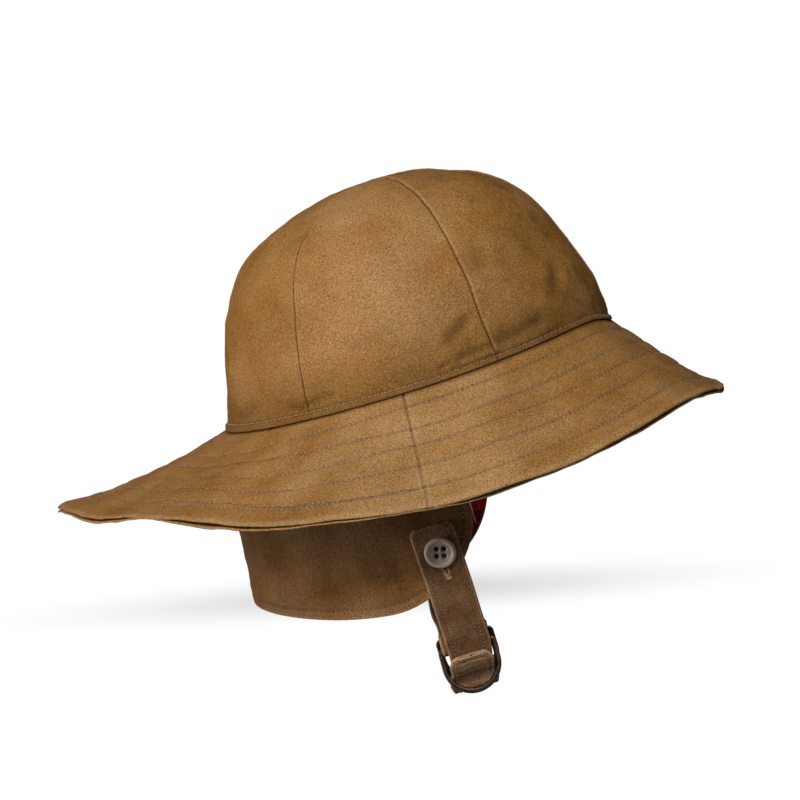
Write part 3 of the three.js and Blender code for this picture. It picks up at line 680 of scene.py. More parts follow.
# Meshes
def add_mesh(name, points, faces, uv, wear_and_painted_light, material, nodes):
    mesh = bpy.data.meshes.new(name)
    mesh.from_pydata((np.asarray(points) * MM).tolist(), [], faces)
    mesh.polygons.foreach_set("use_smooth", np.ones(len(mesh.polygons), bool))
    corner = np.empty(len(mesh.loops), int)
    mesh.loops.foreach_get("vertex_index", corner)
    for layer_name, values in (("UVMap", uv), ("Wear", wear_and_painted_light)):
        if values is not None:
            layer = mesh.uv_layers.new(name=layer_name)
            layer.data.foreach_set("uv", np.asarray(values, float)[corner].ravel())
    mesh.materials.append(material)
    mesh.update()
    piece = bpy.data.objects.new(name, mesh)
    bpy.context.scene.collection.objects.link(piece)
    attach(piece, "root")
    if nodes:
        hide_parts(*nodes)
    return piece


def grid_normals(points):
    return unit(np.cross(np.gradient(points, axis=0), np.gradient(points, axis=1)))


EDGE_STEPS = 4


# A closed sheet of cloth: a fine outer face, an inner face of coarse times fewer rows and columns, and a
# rounded edge all round.
def sheet_faces(outer, thickness, coarse):
    rows, columns = outer.shape[:2]
    normals = grid_normals(outer)
    inner = outer - normals * thickness
    index = np.arange(rows * columns).reshape(rows, columns)
    quads = np.stack([index[:-1, :-1], index[1:, :-1], index[1:, 1:], index[:-1, 1:]], -1)
    faces = quads.reshape(-1, 4).tolist()
    loop = [(i, 0) for i in range(rows)]
    loop += [(rows - 1, j) for j in range(1, columns)]
    loop += [(i, columns - 1) for i in range(rows - 2, -1, -1)]
    loop += [(0, j) for j in range(columns - 2, 0, -1)]
    li = np.array([p[0] for p in loop])
    lj = np.array([p[1] for p in loop])
    along_rows = unit(np.gradient(outer, axis=0))
    along_columns = unit(np.gradient(outer, axis=1))
    ends_of_rows = (li == rows - 1).astype(float) - (li == 0)
    ends_of_columns = (lj == columns - 1).astype(float) - (lj == 0)
    away = ends_of_rows[:, None] * along_rows[li, lj] + ends_of_columns[:, None] * along_columns[li, lj]
    ns = normals[li, lj]
    away = unit(away - ns * (away * ns).sum(-1, keepdims=True))
    middle = (outer[li, lj] + inner[li, lj]) / 2
    points = [outer.reshape(-1, 3)]
    source = [index.reshape(-1)]
    ring = [index[li, lj]]
    total = rows * columns
    for step in range(1, EDGE_STEPS + 1):
        turn = np.pi * step / EDGE_STEPS
        points.append(middle + (ns * math.cos(turn) + away * math.sin(turn)) * thickness / 2)
        source.append(index[li, lj])
        ring.append(total + np.arange(len(loop)))
        total += len(loop)
    for a, b in zip(ring[:-1], ring[1:]):
        faces += np.stack([a, b, np.roll(b, -1), np.roll(a, -1)], -1).tolist()
    last = {p: int(v) for p, v in zip(loop, ring[-1])}
    ci = list(range(0, rows - 1, coarse)) + [rows - 1]
    cj = list(range(0, columns - 1, coarse)) + [columns - 1]
    extra = [(i, j) for i in ci[1:-1] for j in cj[1:-1]]
    if extra:
        ei = np.array([p[0] for p in extra])
        ej = np.array([p[1] for p in extra])
        points.append(inner[ei, ej])
        source.append(index[ei, ej])
        for k, p in enumerate(extra):
            last[p] = total + k
        total += len(extra)
    for i0, i1 in zip(ci[:-1], ci[1:]):
        for j0, j1 in zip(cj[:-1], cj[1:]):
            side_a = [(i0, j) for j in range(j0, j1)] if i0 == 0 else [(i0, j0)]
            side_b = [(i, j1) for i in range(i0, i1)] if j1 == columns - 1 else [(i0, j1)]
            side_c = [(i1, j) for j in range(j1, j0, -1)] if i1 == rows - 1 else [(i1, j1)]
            side_d = [(i, j0) for i in range(i1, i0, -1)] if j0 == 0 else [(i1, j0)]
            faces.append([last[p] for p in side_a + side_b + side_c + side_d])
    return np.concatenate(points), faces, np.concatenate(source)


# UV in real lengths along the rows and columns of a grid.
def grid_uv(points):
    u = np.zeros(points.shape[:2])
    v = np.zeros(points.shape[:2])
    u[1:] = np.cumsum(np.linalg.norm(np.diff(points, axis=0), axis=-1), axis=0)
    v[:, 1:] = np.cumsum(np.linalg.norm(np.diff(points, axis=1), axis=-1), axis=1)
    return np.stack([u - u[len(u) // 2], v], -1) * MM


def add_sheet(name, cloth, a, b, thickness, coarse, material, nodes):
    points, normals, rub_and_highlight, grime_and_shade = cloth.at(a, b)
    uv = grid_uv(cloth.base(a, b))
    wear_and_painted_light = np.stack([np.clip(rub_and_highlight, 0, 1), np.clip(grime_and_shade, 0, 1)], -1)
    if np.mean(grid_normals(points) * normals) < 0:
        points = points[::-1]
        uv = uv[::-1]
        wear_and_painted_light = wear_and_painted_light[::-1]
    vertices, faces, source = sheet_faces(points, thickness, coarse)
    uv = uv.reshape(-1, 2)[source]
    wear_and_painted_light = wear_and_painted_light.reshape(-1, 2)[source]
    return add_mesh(name, vertices, faces, uv, wear_and_painted_light, material, nodes)


# A step longer than this in a stitch path is a jump, and no stitch lies over it.
PATH_BREAK = 2.0


# Thread: many short stitches joined in one mesh. RINGS holds each ring's place along the stitch, its size
# and how deep it sinks, and SECTION the outline of a ring.
class Thread:
    RINGS = [(-0.5, 0.3, -0.55), (-0.3, 0.95, -0.05), (0.3, 0.95, -0.05), (0.5, 0.3, -0.55)]
    SECTION = [(-1, 0), (-0.6, 0.8), (0.6, 0.8), (1, 0), (0, -0.8)]

    def __init__(self):
        self.points = []
        self.faces = []
        self.count = 0

    def add(self, centres, along, up, length, width, lift=0.0):
        up = unit(up - along * (up * along).sum(-1, keepdims=True))
        across = np.cross(up, along)
        sides = len(self.SECTION)
        template = []
        for t, size, sink in self.RINGS:
            for x, y in self.SECTION:
                height = (y * size / 2 + sink) * width * 0.8 + lift
                template.append((t * length, x * size * width / 2, height))
        template = np.array(template)
        points = (
            centres[:, None]
            + along[:, None] * template[None, :, 0, None]
            + across[:, None] * template[None, :, 1, None]
            + up[:, None] * template[None, :, 2, None]
        )
        ring = np.arange(len(self.RINGS) * sides).reshape(len(self.RINGS), sides)
        ahead = np.roll(ring, -1, axis=1)
        quads = np.stack([ring[:-1], ahead[:-1], ahead[1:], ring[1:]], -1).reshape(-1, 4)
        ends = np.array([ring[0][::-1], ring[-1]])
        base = self.count + np.arange(len(centres))[:, None, None] * len(template)
        self.points.append(points.reshape(-1, 3))
        self.faces += (base + quads[None]).reshape(-1, 4).tolist()
        self.faces += (base + ends[None]).reshape(-1, sides).tolist()
        self.count += points.shape[0] * points.shape[1]

    # Stitches along a path over a cloth. slant turns every other stitch the other way.
    def sew(self, cloth, a, b, pitch, length, width, slant=0.0, lift=0.0, keep=None):
        points, normals, _, _ = cloth.at(a, b)
        arc = running_length(points)
        steps = np.diff(arc)
        places = np.arange(pitch / 2, arc[-1], pitch)
        segment = np.clip(np.searchsorted(arc, places) - 1, 0, len(steps) - 1)
        places = places[steps[segment] < PATH_BREAK]
        if keep is not None:
            places = places[np.interp(places, arc, keep.astype(float)) > 0.5]

        def read(values, at):
            return np.stack([np.interp(at, arc, values[:, k]) for k in range(3)], -1)

        centres = read(points, places)
        along = unit(read(points, places + 0.4) - read(points, places - 0.4))
        up = unit(read(normals, places))
        if slant:
            turn = slant * np.where(np.arange(len(places)) % 2 == 0, 1, -1)[:, None]
            across = np.cross(up, along)
            along = unit(along * np.cos(turn) + across * np.sin(turn))
        self.add(centres, along, up, length, width, lift)

    def finish(self, name, material, slot):
        points = np.concatenate(self.points)
        flat = np.stack([points[:, 0], points[:, 2]], -1) * MM
        return add_mesh(name, points, self.faces, flat, None, material, None)


# Materials
def linear(colour):
    channels = [c / 255 for c in colour]
    return [c / 12.92 if c <= 0.04045 else ((c + 0.055) / 1.055) ** 2.4 for c in channels] + [1]


# Node helpers for a material or a world.
class Nodes:
    def __init__(self, owner):
        owner.use_nodes = True
        self.owner = owner
        self.tree = owner.node_tree

    def new(self, kind, **settings):
        node = self.tree.nodes.new(kind)
        for key, value in settings.items():
            setattr(node, key, value)
        return node

    def link(self, source, target):
        self.tree.links.new(source, target)

    def noise(self, vector, size_mm, detail, roughness):
        node = self.new("ShaderNodeTexNoise")
        sockets = [node.inputs[key] for key in ("Vector", "Scale", "Detail", "Roughness")]
        self.fill(sockets, (vector, 1 / (size_mm * MM), detail, roughness))
        return node.outputs["Fac"]

    def remap(self, value, low, high, to_low=0.0, to_high=1.0, kind="LINEAR"):
        node = self.new("ShaderNodeMapRange", interpolation_type=kind)
        self.fill(node.inputs, (value, low, high, to_low, to_high))
        return node.outputs["Result"]

    def fill(self, sockets, values):
        for socket, value in zip(sockets, values):
            if isinstance(value, (int, float, list)):
                socket.default_value = value
            else:
                self.link(value, socket)

    def maths(self, kind, a, b=0.0):
        node = self.new("ShaderNodeMath", operation=kind)
        self.fill(node.inputs, (a, b))
        return node.outputs[0]

    def blend(self, share, a, b, kind="MIX"):
        node = self.new("ShaderNodeMix", data_type="RGBA", blend_type=kind)
        self.fill((node.inputs["Factor"], node.inputs[6], node.inputs[7]), (share, a, b))
        return node.outputs[2]

    def ridges(self, vector, pitch_mm, direction):
        node = self.new("ShaderNodeTexWave", wave_type="BANDS", bands_direction=direction)
        node.inputs["Scale"].default_value = 314 / pitch_mm
        node.inputs["Distortion"].default_value = 0.6
        node.inputs["Detail"].default_value = 1
        self.link(vector, node.inputs["Vector"])
        return node.outputs["Fac"]

    def coordinates(self):
        return self.new("ShaderNodeTexCoord").outputs

    def wear_and_painted_light(self):
        node = self.new("ShaderNodeUVMap", uv_map="Wear")
        split = self.new("ShaderNodeSeparateXYZ")
        self.link(node.outputs["UV"], split.inputs[0])
        return split.outputs["X"], split.outputs["Y"]

    # Joins colour, roughness and a height raised by distance_mm to the shader, and sets its plain numbers.
    def finish(self, colour, roughness, height, distance_mm, numbers):
        shader = self.tree.nodes["Principled BSDF"]
        self.link(colour, shader.inputs["Base Color"])
        self.link(roughness, shader.inputs["Roughness"])
        bump_node = self.new("ShaderNodeBump")
        bump_node.inputs["Distance"].default_value = distance_mm * MM
        bump_node.inputs["Strength"].default_value = 1
        self.link(height, bump_node.inputs["Height"])
        self.link(bump_node.outputs["Normal"], shader.inputs["Normal"])
        for socket, value in numbers.items():
            shader.inputs[socket].default_value = value
        return self.owner


COTTON_ROUGHNESS = 0.74
COTTON_GRAIN = 0.56


# Waxed cotton: mottled by wear, speckled by its weave, lighter where it is rubbed and where a highlight is
# painted, and darker in grooves and where shade is painted.
def waxed_cotton(name, middle, light, dark):
    nodes = Nodes(bpy.data.materials.new(name))
    place = nodes.coordinates()
    rub_and_highlight, grime_and_shade = nodes.wear_and_painted_light()
    broad = nodes.remap(nodes.noise(place["Object"], 42, 3, 0.55), 0.36, 0.64)
    patches = nodes.remap(nodes.noise(place["Object"], 9, 5, 0.62), 0.34, 0.66)
    speckle = nodes.noise(place["Object"], 0.8, 3, 0.8)
    streaks = nodes.noise(place["UV"], 0.6, 2, 0.7)
    colour = nodes.blend(nodes.maths("MULTIPLY", broad, 0.4), linear(middle), linear(dark))
    rubbed_and_highlit = nodes.maths("MULTIPLY", nodes.maths("ADD", rub_and_highlight, nodes.maths("MULTIPLY", patches, 0.26)), 0.62)
    colour = nodes.blend(rubbed_and_highlit, colour, linear(light))
    grain = COTTON_GRAIN
    tone = nodes.remap(speckle, 0.32, 0.68, 1 - grain, 1 + grain)
    tone = nodes.maths("MULTIPLY", tone, nodes.remap(streaks, 0.3, 0.7, 1 - grain / 2, 1 + grain / 2))
    colour = nodes.blend(1.0, colour, tone, "MULTIPLY")
    colour = nodes.blend(nodes.maths("MULTIPLY", grime_and_shade, 0.9), colour, linear([c * 0.22 for c in dark]))
    roughness = nodes.remap(patches, 0, 1, COTTON_ROUGHNESS - 0.08, COTTON_ROUGHNESS + 0.08)
    weave = nodes.maths("ADD", nodes.ridges(place["UV"], 0.62, "X"), nodes.ridges(place["UV"], 0.62, "Y"))
    height = nodes.maths("ADD", nodes.maths("MULTIPLY", weave, 0.3), nodes.maths("MULTIPLY", speckle, 2.2))
    return nodes.finish(colour, roughness, height, 0.2, {"Specular IOR Level": 0.16})


# The check's repeat in metres, and its bar and pale line as shares of that.
CHECK_REPEAT = 0.034
CHECK_BAR = 0.42
CHECK_LINE = 0.06


# Wool lining in a crimson check with black bars and thin pale lines.
def check_wool(name):
    nodes = Nodes(bpy.data.materials.new(name))
    place = nodes.coordinates()
    split = nodes.new("ShaderNodeSeparateXYZ")
    nodes.link(place["UV"], split.inputs[0])
    colour = linear((250, 10, 44))
    for axis, start in (("X", 0.5), ("Y", 0.4)):
        repeats = nodes.maths("DIVIDE", split.outputs[axis], CHECK_REPEAT)
        turned = nodes.maths("FRACT", nodes.maths("ADD", repeats, start))
        bar = nodes.maths("LESS_THAN", turned, CHECK_BAR)
        colour = nodes.blend(nodes.maths("MULTIPLY", bar, 0.68), colour, linear((20, 10, 11)))
        off = nodes.maths("ABSOLUTE", nodes.maths("SUBTRACT", turned, (1 + CHECK_BAR) / 2))
        line = nodes.maths("LESS_THAN", off, CHECK_LINE / 2)
        colour = nodes.blend(nodes.maths("MULTIPLY", line, 0.5), colour, linear((186, 142, 84)))
    fluff = nodes.noise(place["Object"], 1.2, 4, 0.75)
    colour = nodes.blend(1.0, colour, nodes.remap(fluff, 0.3, 0.7, 0.65, 1.35), "MULTIPLY")
    roughness = nodes.remap(fluff, 0.3, 0.7, 0.85, 0.97)
    twill = nodes.ridges(place["UV"], 0.9, "DIAGONAL")
    height = nodes.maths("ADD", twill, nodes.maths("MULTIPLY", fluff, 2))
    return nodes.finish(colour, roughness, height, 0.2, {"Specular IOR Level": 0.2})


# Twisted cotton, uneven in tone.
def cotton_thread(name, middle, light):
    nodes = Nodes(bpy.data.materials.new(name))
    place = nodes.coordinates()
    uneven = nodes.noise(place["Object"], 2.6, 3, 0.7)
    colour = nodes.blend(nodes.remap(uneven, 0.35, 0.65), linear(middle), linear(light))
    fibres = nodes.noise(place["Object"], 0.35, 2, 0.6)
    return nodes.finish(colour, nodes.remap(uneven, 0.3, 0.7, 0.6, 0.8), fibres, 0.05, {})


# Bronzed metal with scratches, lighter where a highlight is painted and darker where shade is painted.
def bronzed_metal(name):
    nodes = Nodes(bpy.data.materials.new(name))
    place = nodes.coordinates()
    cloud = nodes.noise(place["Object"], 5, 4, 0.65)
    scratch = nodes.noise(place["Object"], 0.6, 3, 0.8)
    rub_and_highlight, grime_and_shade = nodes.wear_and_painted_light()
    colour = nodes.blend(nodes.remap(cloud, 0.35, 0.68), linear((36, 25, 19)), linear((78, 58, 44)))
    colour = nodes.blend(nodes.maths("MULTIPLY", rub_and_highlight, 0.6), colour, linear((176, 138, 106)))
    colour = nodes.blend(nodes.maths("MULTIPLY", grime_and_shade, 0.85), colour, linear((18, 12, 9)))
    roughness = nodes.remap(scratch, 0.3, 0.7, 0.26, 0.46)
    return nodes.finish(colour, roughness, nodes.maths("ADD", scratch, cloud), 0.05, {"Metallic": 0.85})


# Horn-coloured shell: turned rings, faint clouds and a soft polish.
def button_shell(name):
    nodes = Nodes(bpy.data.materials.new(name))
    place = nodes.coordinates()
    rub_and_highlight, grime_and_shade = nodes.wear_and_painted_light()
    cloud = nodes.noise(place["Object"], 6, 4, 0.6)
    speck = nodes.noise(place["Object"], 0.8, 2, 0.6)
    colour = nodes.blend(nodes.remap(cloud, 0.35, 0.65), linear((190, 164, 146)), linear((220, 196, 176)))
    colour = nodes.blend(1.0, colour, nodes.remap(speck, 0.3, 0.7, 0.88, 1.12), "MULTIPLY")
    # Painted highlight on the rims, then painted shade in the holes.
    colour = nodes.blend(nodes.maths("MULTIPLY", rub_and_highlight, 0.5), colour, linear((196, 180, 166)))
    colour = nodes.blend(grime_and_shade, colour, linear((8, 6, 5)))
    dimples = nodes.noise(place["Object"], 1.4, 3, 0.6)
    return nodes.finish(colour, nodes.remap(speck, 0.3, 0.7, 0.32, 0.44), dimples, 0.04, {})


CROWN_CLOTH = waxed_cotton("crown_cloth", (150, 102, 38), (186, 146, 100), (118, 74, 20))
BRIM_CLOTH = waxed_cotton("brim_cloth", (150, 103, 44), (186, 148, 102), (118, 76, 24))
FLAP_CLOTH = waxed_cotton("flap_cloth", (154, 104, 50), (198, 156, 112), (118, 76, 28))
STRAP_CLOTH = waxed_cotton("strap_cloth", (122, 82, 48), (200, 160, 122), (88, 56, 28))
LINING_WOOL = check_wool("check_lining")
SEAM_THREAD = cotton_thread("seam_thread", (116, 98, 84), (172, 150, 128))
HEM_THREAD = cotton_thread("hem_thread", (150, 118, 82), (198, 166, 128))
EDGE_THREAD = cotton_thread("edge_thread", (196, 160, 120), (250, 224, 190))
HOLE_THREAD = cotton_thread("hole_thread", (96, 76, 60), (226, 190, 152))
STRAP_THREAD = cotton_thread("strap_thread", (84, 72, 66), (146, 132, 122))
DARK_THREAD = cotton_thread("dark_thread", (58, 44, 32), (120, 100, 84))
RING_METAL = bronzed_metal("ring_metal")
BUTTON_SHELL = button_shell("button_shell")

# The cloths' walls in the meshes, no thicker than the solids' walls
CROWN_WALL = 0.9
BRIM_WALL = 0.85
FLAP_WALL = 1.0
LINING_WALL = 0.8

# Crown panels: steps in mm from a seam and up from the hem, where the relief is fine
panel_girth = GIRTH / 6
seam_margins = [0.22, 0.45, 0.7, 1.0, 1.35, 1.8, 2.4, 3.2, 4.2]
panel_places = crowded(panel_girth, seam_margins, 1.5) / panel_girth
hem_steps = [0.35, 0.7, 1.1, 1.5, 1.9, 2.3, 2.6, 2.9, 3.2, 3.5, 3.8, 4.1, 4.5, 5, 5.6, 6.3, 7.1, 8]
shares_tried = np.linspace(0, 0.9985, 3000)
meridian = crown_base(np.full(3000, 268.0), shares_tried)
lengths_tried = running_length(meridian)
upper_steps = np.linspace(8, lengths_tried[-1], 118)[1:]
panel_shares = np.interp(np.concatenate([hem_steps, upper_steps]), lengths_tried, shares_tried)
for k in range(6):
    panel_angle = mix(PANEL_ANGLES[k], PANEL_ANGLES[k + 1], panel_places)
    angle, share = np.meshgrid(panel_angle, panel_shares, indexing="ij")
    node = f"crown_panel_{k + 1}"
    add_sheet(f"{node}_cloth", crown, angle, share, CROWN_WALL, 4, CROWN_CLOTH, [node])

# Brim plies: columns between two stitch rows crowd towards the rows
left_seam = equal_girth(4)[0][1]
between_rows = [0, 0.025, 0.055, 0.1, 0.17, 0.28, 0.42, 0.58, 0.72, 0.83, 0.9, 0.945, 0.975]


def brim_grid(back, beyond):
    ends = (left_seam, 360 - left_seam) if back else (-left_seam, left_seam)
    length = 470 if back else 400
    places = crowded(length, [0.35, 0.75, 1.2, 1.8, 2.6, 3.6], 1.45) / length
    straight = mix(ends[0], ends[1], places)
    rough_width = brim_width(straight)
    bounds = [np.full_like(rough_width, BRIM_START)] + stitch_rows(straight, back) + [rough_width + beyond]
    bounds = [np.maximum(b, BRIM_START + 0.02 * k) for k, b in enumerate(bounds)]
    columns = []
    for low, high in zip(bounds[:-1], bounds[1:]):
        columns += [mix(low, high, f) for f in between_rows]
    columns.append(bounds[-1])
    distance = np.stack(columns, -1)
    share = np.clip(distance / rough_width[:, None], 0, 1)
    start = brim_seam_angle(ends[0] + 0 * share, share)
    end = brim_seam_angle(ends[1] + 0 * share, share)
    return mix(start, end, places[:, None]), distance


for back in (False, True):
    part = "back" if back else "front"
    for ply, beyond in (("upper", -0.4), ("under", -0.2)):
        angle, distance = brim_grid(back, beyond)
        cloth = brim_cloths[part, ply]
        node = f"brim_{part}_{ply}"
        add_sheet(f"{node}_cloth", cloth, angle, distance, BRIM_WALL, 5, BRIM_CLOTH, [node])

# Flap and lining
flap_shares = (1 - np.cos(np.linspace(0, np.pi, 231))) / 2
flap_columns = mix(FLAP_ANGLE, 360 - FLAP_ANGLE, 0.25 * np.linspace(0, 1, 231) + 0.75 * flap_shares)
drop_places = np.concatenate([np.linspace(0, 0.9, 62)[:-1], np.linspace(0.9, 1, 26)])


def flap_grid(inset):
    spread = math.degrees(inset / (OPENING_WIDTH / 2))
    shares = (flap_columns - flap_columns[0]) / np.ptp(flap_columns)
    columns = mix(FLAP_ANGLE + spread, 360 - FLAP_ANGLE - spread, shares)
    angle, place = np.meshgrid(columns, drop_places, indexing="ij")
    return angle, mix(-FLAP_TOP_RISE, flap_depth(angle) - inset, place)


for node, cloth, inset, wall, material, slot in (
    ("ear_flap", flap, 0.3, FLAP_WALL, FLAP_CLOTH, "flap_cloth"),
    ("flap_lining", lining, 1.4, LINING_WALL, LINING_WOOL, "check_lining"),
):
    angle, drop = flap_grid(inset)
    add_sheet(f"{node}_cloth", cloth, angle, drop, wall, 4, material, [node])


# Straps
def catmull_rom(points, places):
    points = np.asarray(points, float)
    last = len(points) - 1
    before = 2 * points[0] - points[1]
    after = 2 * points[-1] - points[-2]
    padded = np.concatenate([[before], points, [after]])
    i = np.clip(np.floor(places).astype(int), 0, last - 1)
    w = (places - i)[:, None]
    p0, p1, p2, p3 = padded[i], padded[i + 1], padded[i + 2], padded[i + 3]
    d0 = np.linalg.norm(p1 - p0, axis=-1, keepdims=True) ** 0.5
    d1 = np.linalg.norm(p2 - p1, axis=-1, keepdims=True) ** 0.5
    d2 = np.linalg.norm(p3 - p2, axis=-1, keepdims=True) ** 0.5
    t1 = ((p1 - p0) / d0 - (p2 - p0) / (d0 + d1) + (p2 - p1) / d1) * d1
    t2 = ((p2 - p1) / d1 - (p3 - p1) / (d1 + d2) + (p3 - p2) / d2) * d1
    return p1 + t1 * w + (3 * (p2 - p1) - 2 * t1 - t2) * w ** 2 + (2 * (p1 - p2) + t1 + t2) * w ** 3


# The point out from the flap at a forward distance and a drop. side is 1 on the left and -1 on the right.
def on_flap(side, forward, drop, out):
    angle = side * math.degrees(math.acos(forward / (OPENING_LENGTH / 2 - FLAP_INSET)))
    turned = np.array(angle % 360)
    point = flap_base(turned, np.array(float(drop)))
    below = flap_base(turned, np.array(float(drop + 1)))
    along = np.cross([0, 0, 1], seam_outward(turned))
    normal = unit(np.cross(along, unit(below - point)))
    if normal[1] * side < 0:
        normal = -normal
    point = point + normal * out
    return np.array([forward, point[1], point[2]])


# How far the flap runs to the left for each mm forward, which a strap on it follows.
def flap_skew(side, forward):
    ahead = on_flap(side, forward + 2, STRAP_TOP, 0)
    behind = on_flap(side, forward - 2, STRAP_TOP, 0)
    return (ahead[1] - behind[1]) / 4


STRAP_HALF = STRAP_WIDTH / 2
STRAP_STITCH_IN = 2.7
STRAP_OUT = STRAP_CLEARANCE + STRAP_THICKNESS / 2
WIRE = RING_WIRE / 2
RING_RADIUS = (RING_INNER + RING_WIRE) / 2
WRAP = WIRE + CLOTH_GAP + STRAP_THICKNESS / 2
BACK_BAR = np.array([RING_FORWARD, -RING_OUT, -RING_DROP])
FRONT_BAR = np.array([RING_FORWARD, -RING_OUT - RING_STEP_OUT, -RING_DROP - RING_STEP_DOWN])
RING_FOOT = BACK_BAR - [0, 0, RING_STRAIGHT + RING_RADIUS]

# Inside the rings the straps are a little wider than the solids, and the buttoned one lies further back there,
# so that they fill the rings.
INNER_TURN_WIDER = 0.14
INNER_TURN_BACK = 8
SEWN_TURN_WIDER = 1.12

# The sewn strap's way over the back bar and round the front one, in wraps out from a bar's middle: bar, y, z
SEWN_TURNS = [
    (BACK_BAR, 0, 1.06),
    (BACK_BAR, -0.95, 0.45),
    (FRONT_BAR, -1.08, 0.3),
    (FRONT_BAR, -0.72, -0.8),
    (FRONT_BAR, 0.3, -1.04),
    (FRONT_BAR, 1.3, -0.1),
]


# The stops of a strap down the flap, each a point, half the width there, and the skew of the strap's ends.
def flap_stops(side, forward, lowest, shares):
    skew = flap_skew(side, forward)
    rows = [(0, STRAP_HALF - STRAP_CORNER), (0.3 * STRAP_CORNER, STRAP_HALF - 0.29 * STRAP_CORNER)]
    for share in shares:
        rows.append((STRAP_CORNER + share * (lowest - STRAP_TOP - STRAP_CORNER), STRAP_HALF))
    return [(on_flap(side, forward, STRAP_TOP + down, STRAP_OUT), half, skew) for down, half in rows]


def buttoned_stops():
    stops = flap_stops(-1, STRAP_FORWARD, STRAP_FLAP_DROP, (0, 0.33, 0.66, 1))
    flap_end = stops[-1][0]
    route = []
    for out, up, centred, half in THREADING:
        x = mix(STRAP_FORWARD, RING_FORWARD, centred)
        y = RING_FOOT[1] - out * RING_RADIUS
        z = RING_FOOT[2] + up * RING_RADIUS
        wider = INNER_TURN_WIDER * bump(up - 0.1, 0.35) * (centred > 0.9) * (half > 0.9)
        route.append((np.array([x - INNER_TURN_BACK * wider, y, z]), (half + wider) * STRAP_HALF, 0))
    for share in (0.3, 0.6, 0.85):
        point = mix(flap_end, route[0][0], share)
        point[1] -= 0.4 * STRAP_THICKNESS * math.sin(math.pi * share)
        stops.append((point, STRAP_HALF, 0))
    return stops + route


def sewn_stops():
    lowest = FLAP_DEPTH_LEFT + 1.2 * STRAP_THICKNESS
    stops = flap_stops(1, FAR_STRAP_FORWARD, lowest, (0, 0.3, 0.6, 0.85, 1))
    flap_end = stops[-1][0]
    over_bar = BACK_BAR + [0, 1.6 * WRAP, 1.15 * WRAP]

    def sag(share):
        return 4 * STRAP_THICKNESS * math.sin(math.pi * math.sqrt(share))

    for share in (0.08, 0.2, 0.4, 0.6, 0.8):
        point = mix(flap_end, over_bar, share)
        point[0] -= FAR_STRAP_BOW * math.sin(math.pi * share)
        point[2] -= sag(share)
        stops.append((point, STRAP_HALF, 0))
    path = [over_bar]
    for bar, y, z in SEWN_TURNS:
        path.append(bar + np.array([0, y * WRAP, z * WRAP]))
    back_along = mix(flap_end, over_bar, 0.8) - over_bar
    back_along[2] -= sag(0.8)
    back_along = unit(back_along)
    for share in (0.35, 1):
        point = over_bar + back_along * share * FAR_STRAP_FOLD
        path.append(point - [0, 0, 1.06 * STRAP_THICKNESS + CLOTH_GAP])
    return stops + [(point, SEWN_TURN_WIDER * STRAP_HALF, 0) for point in path]


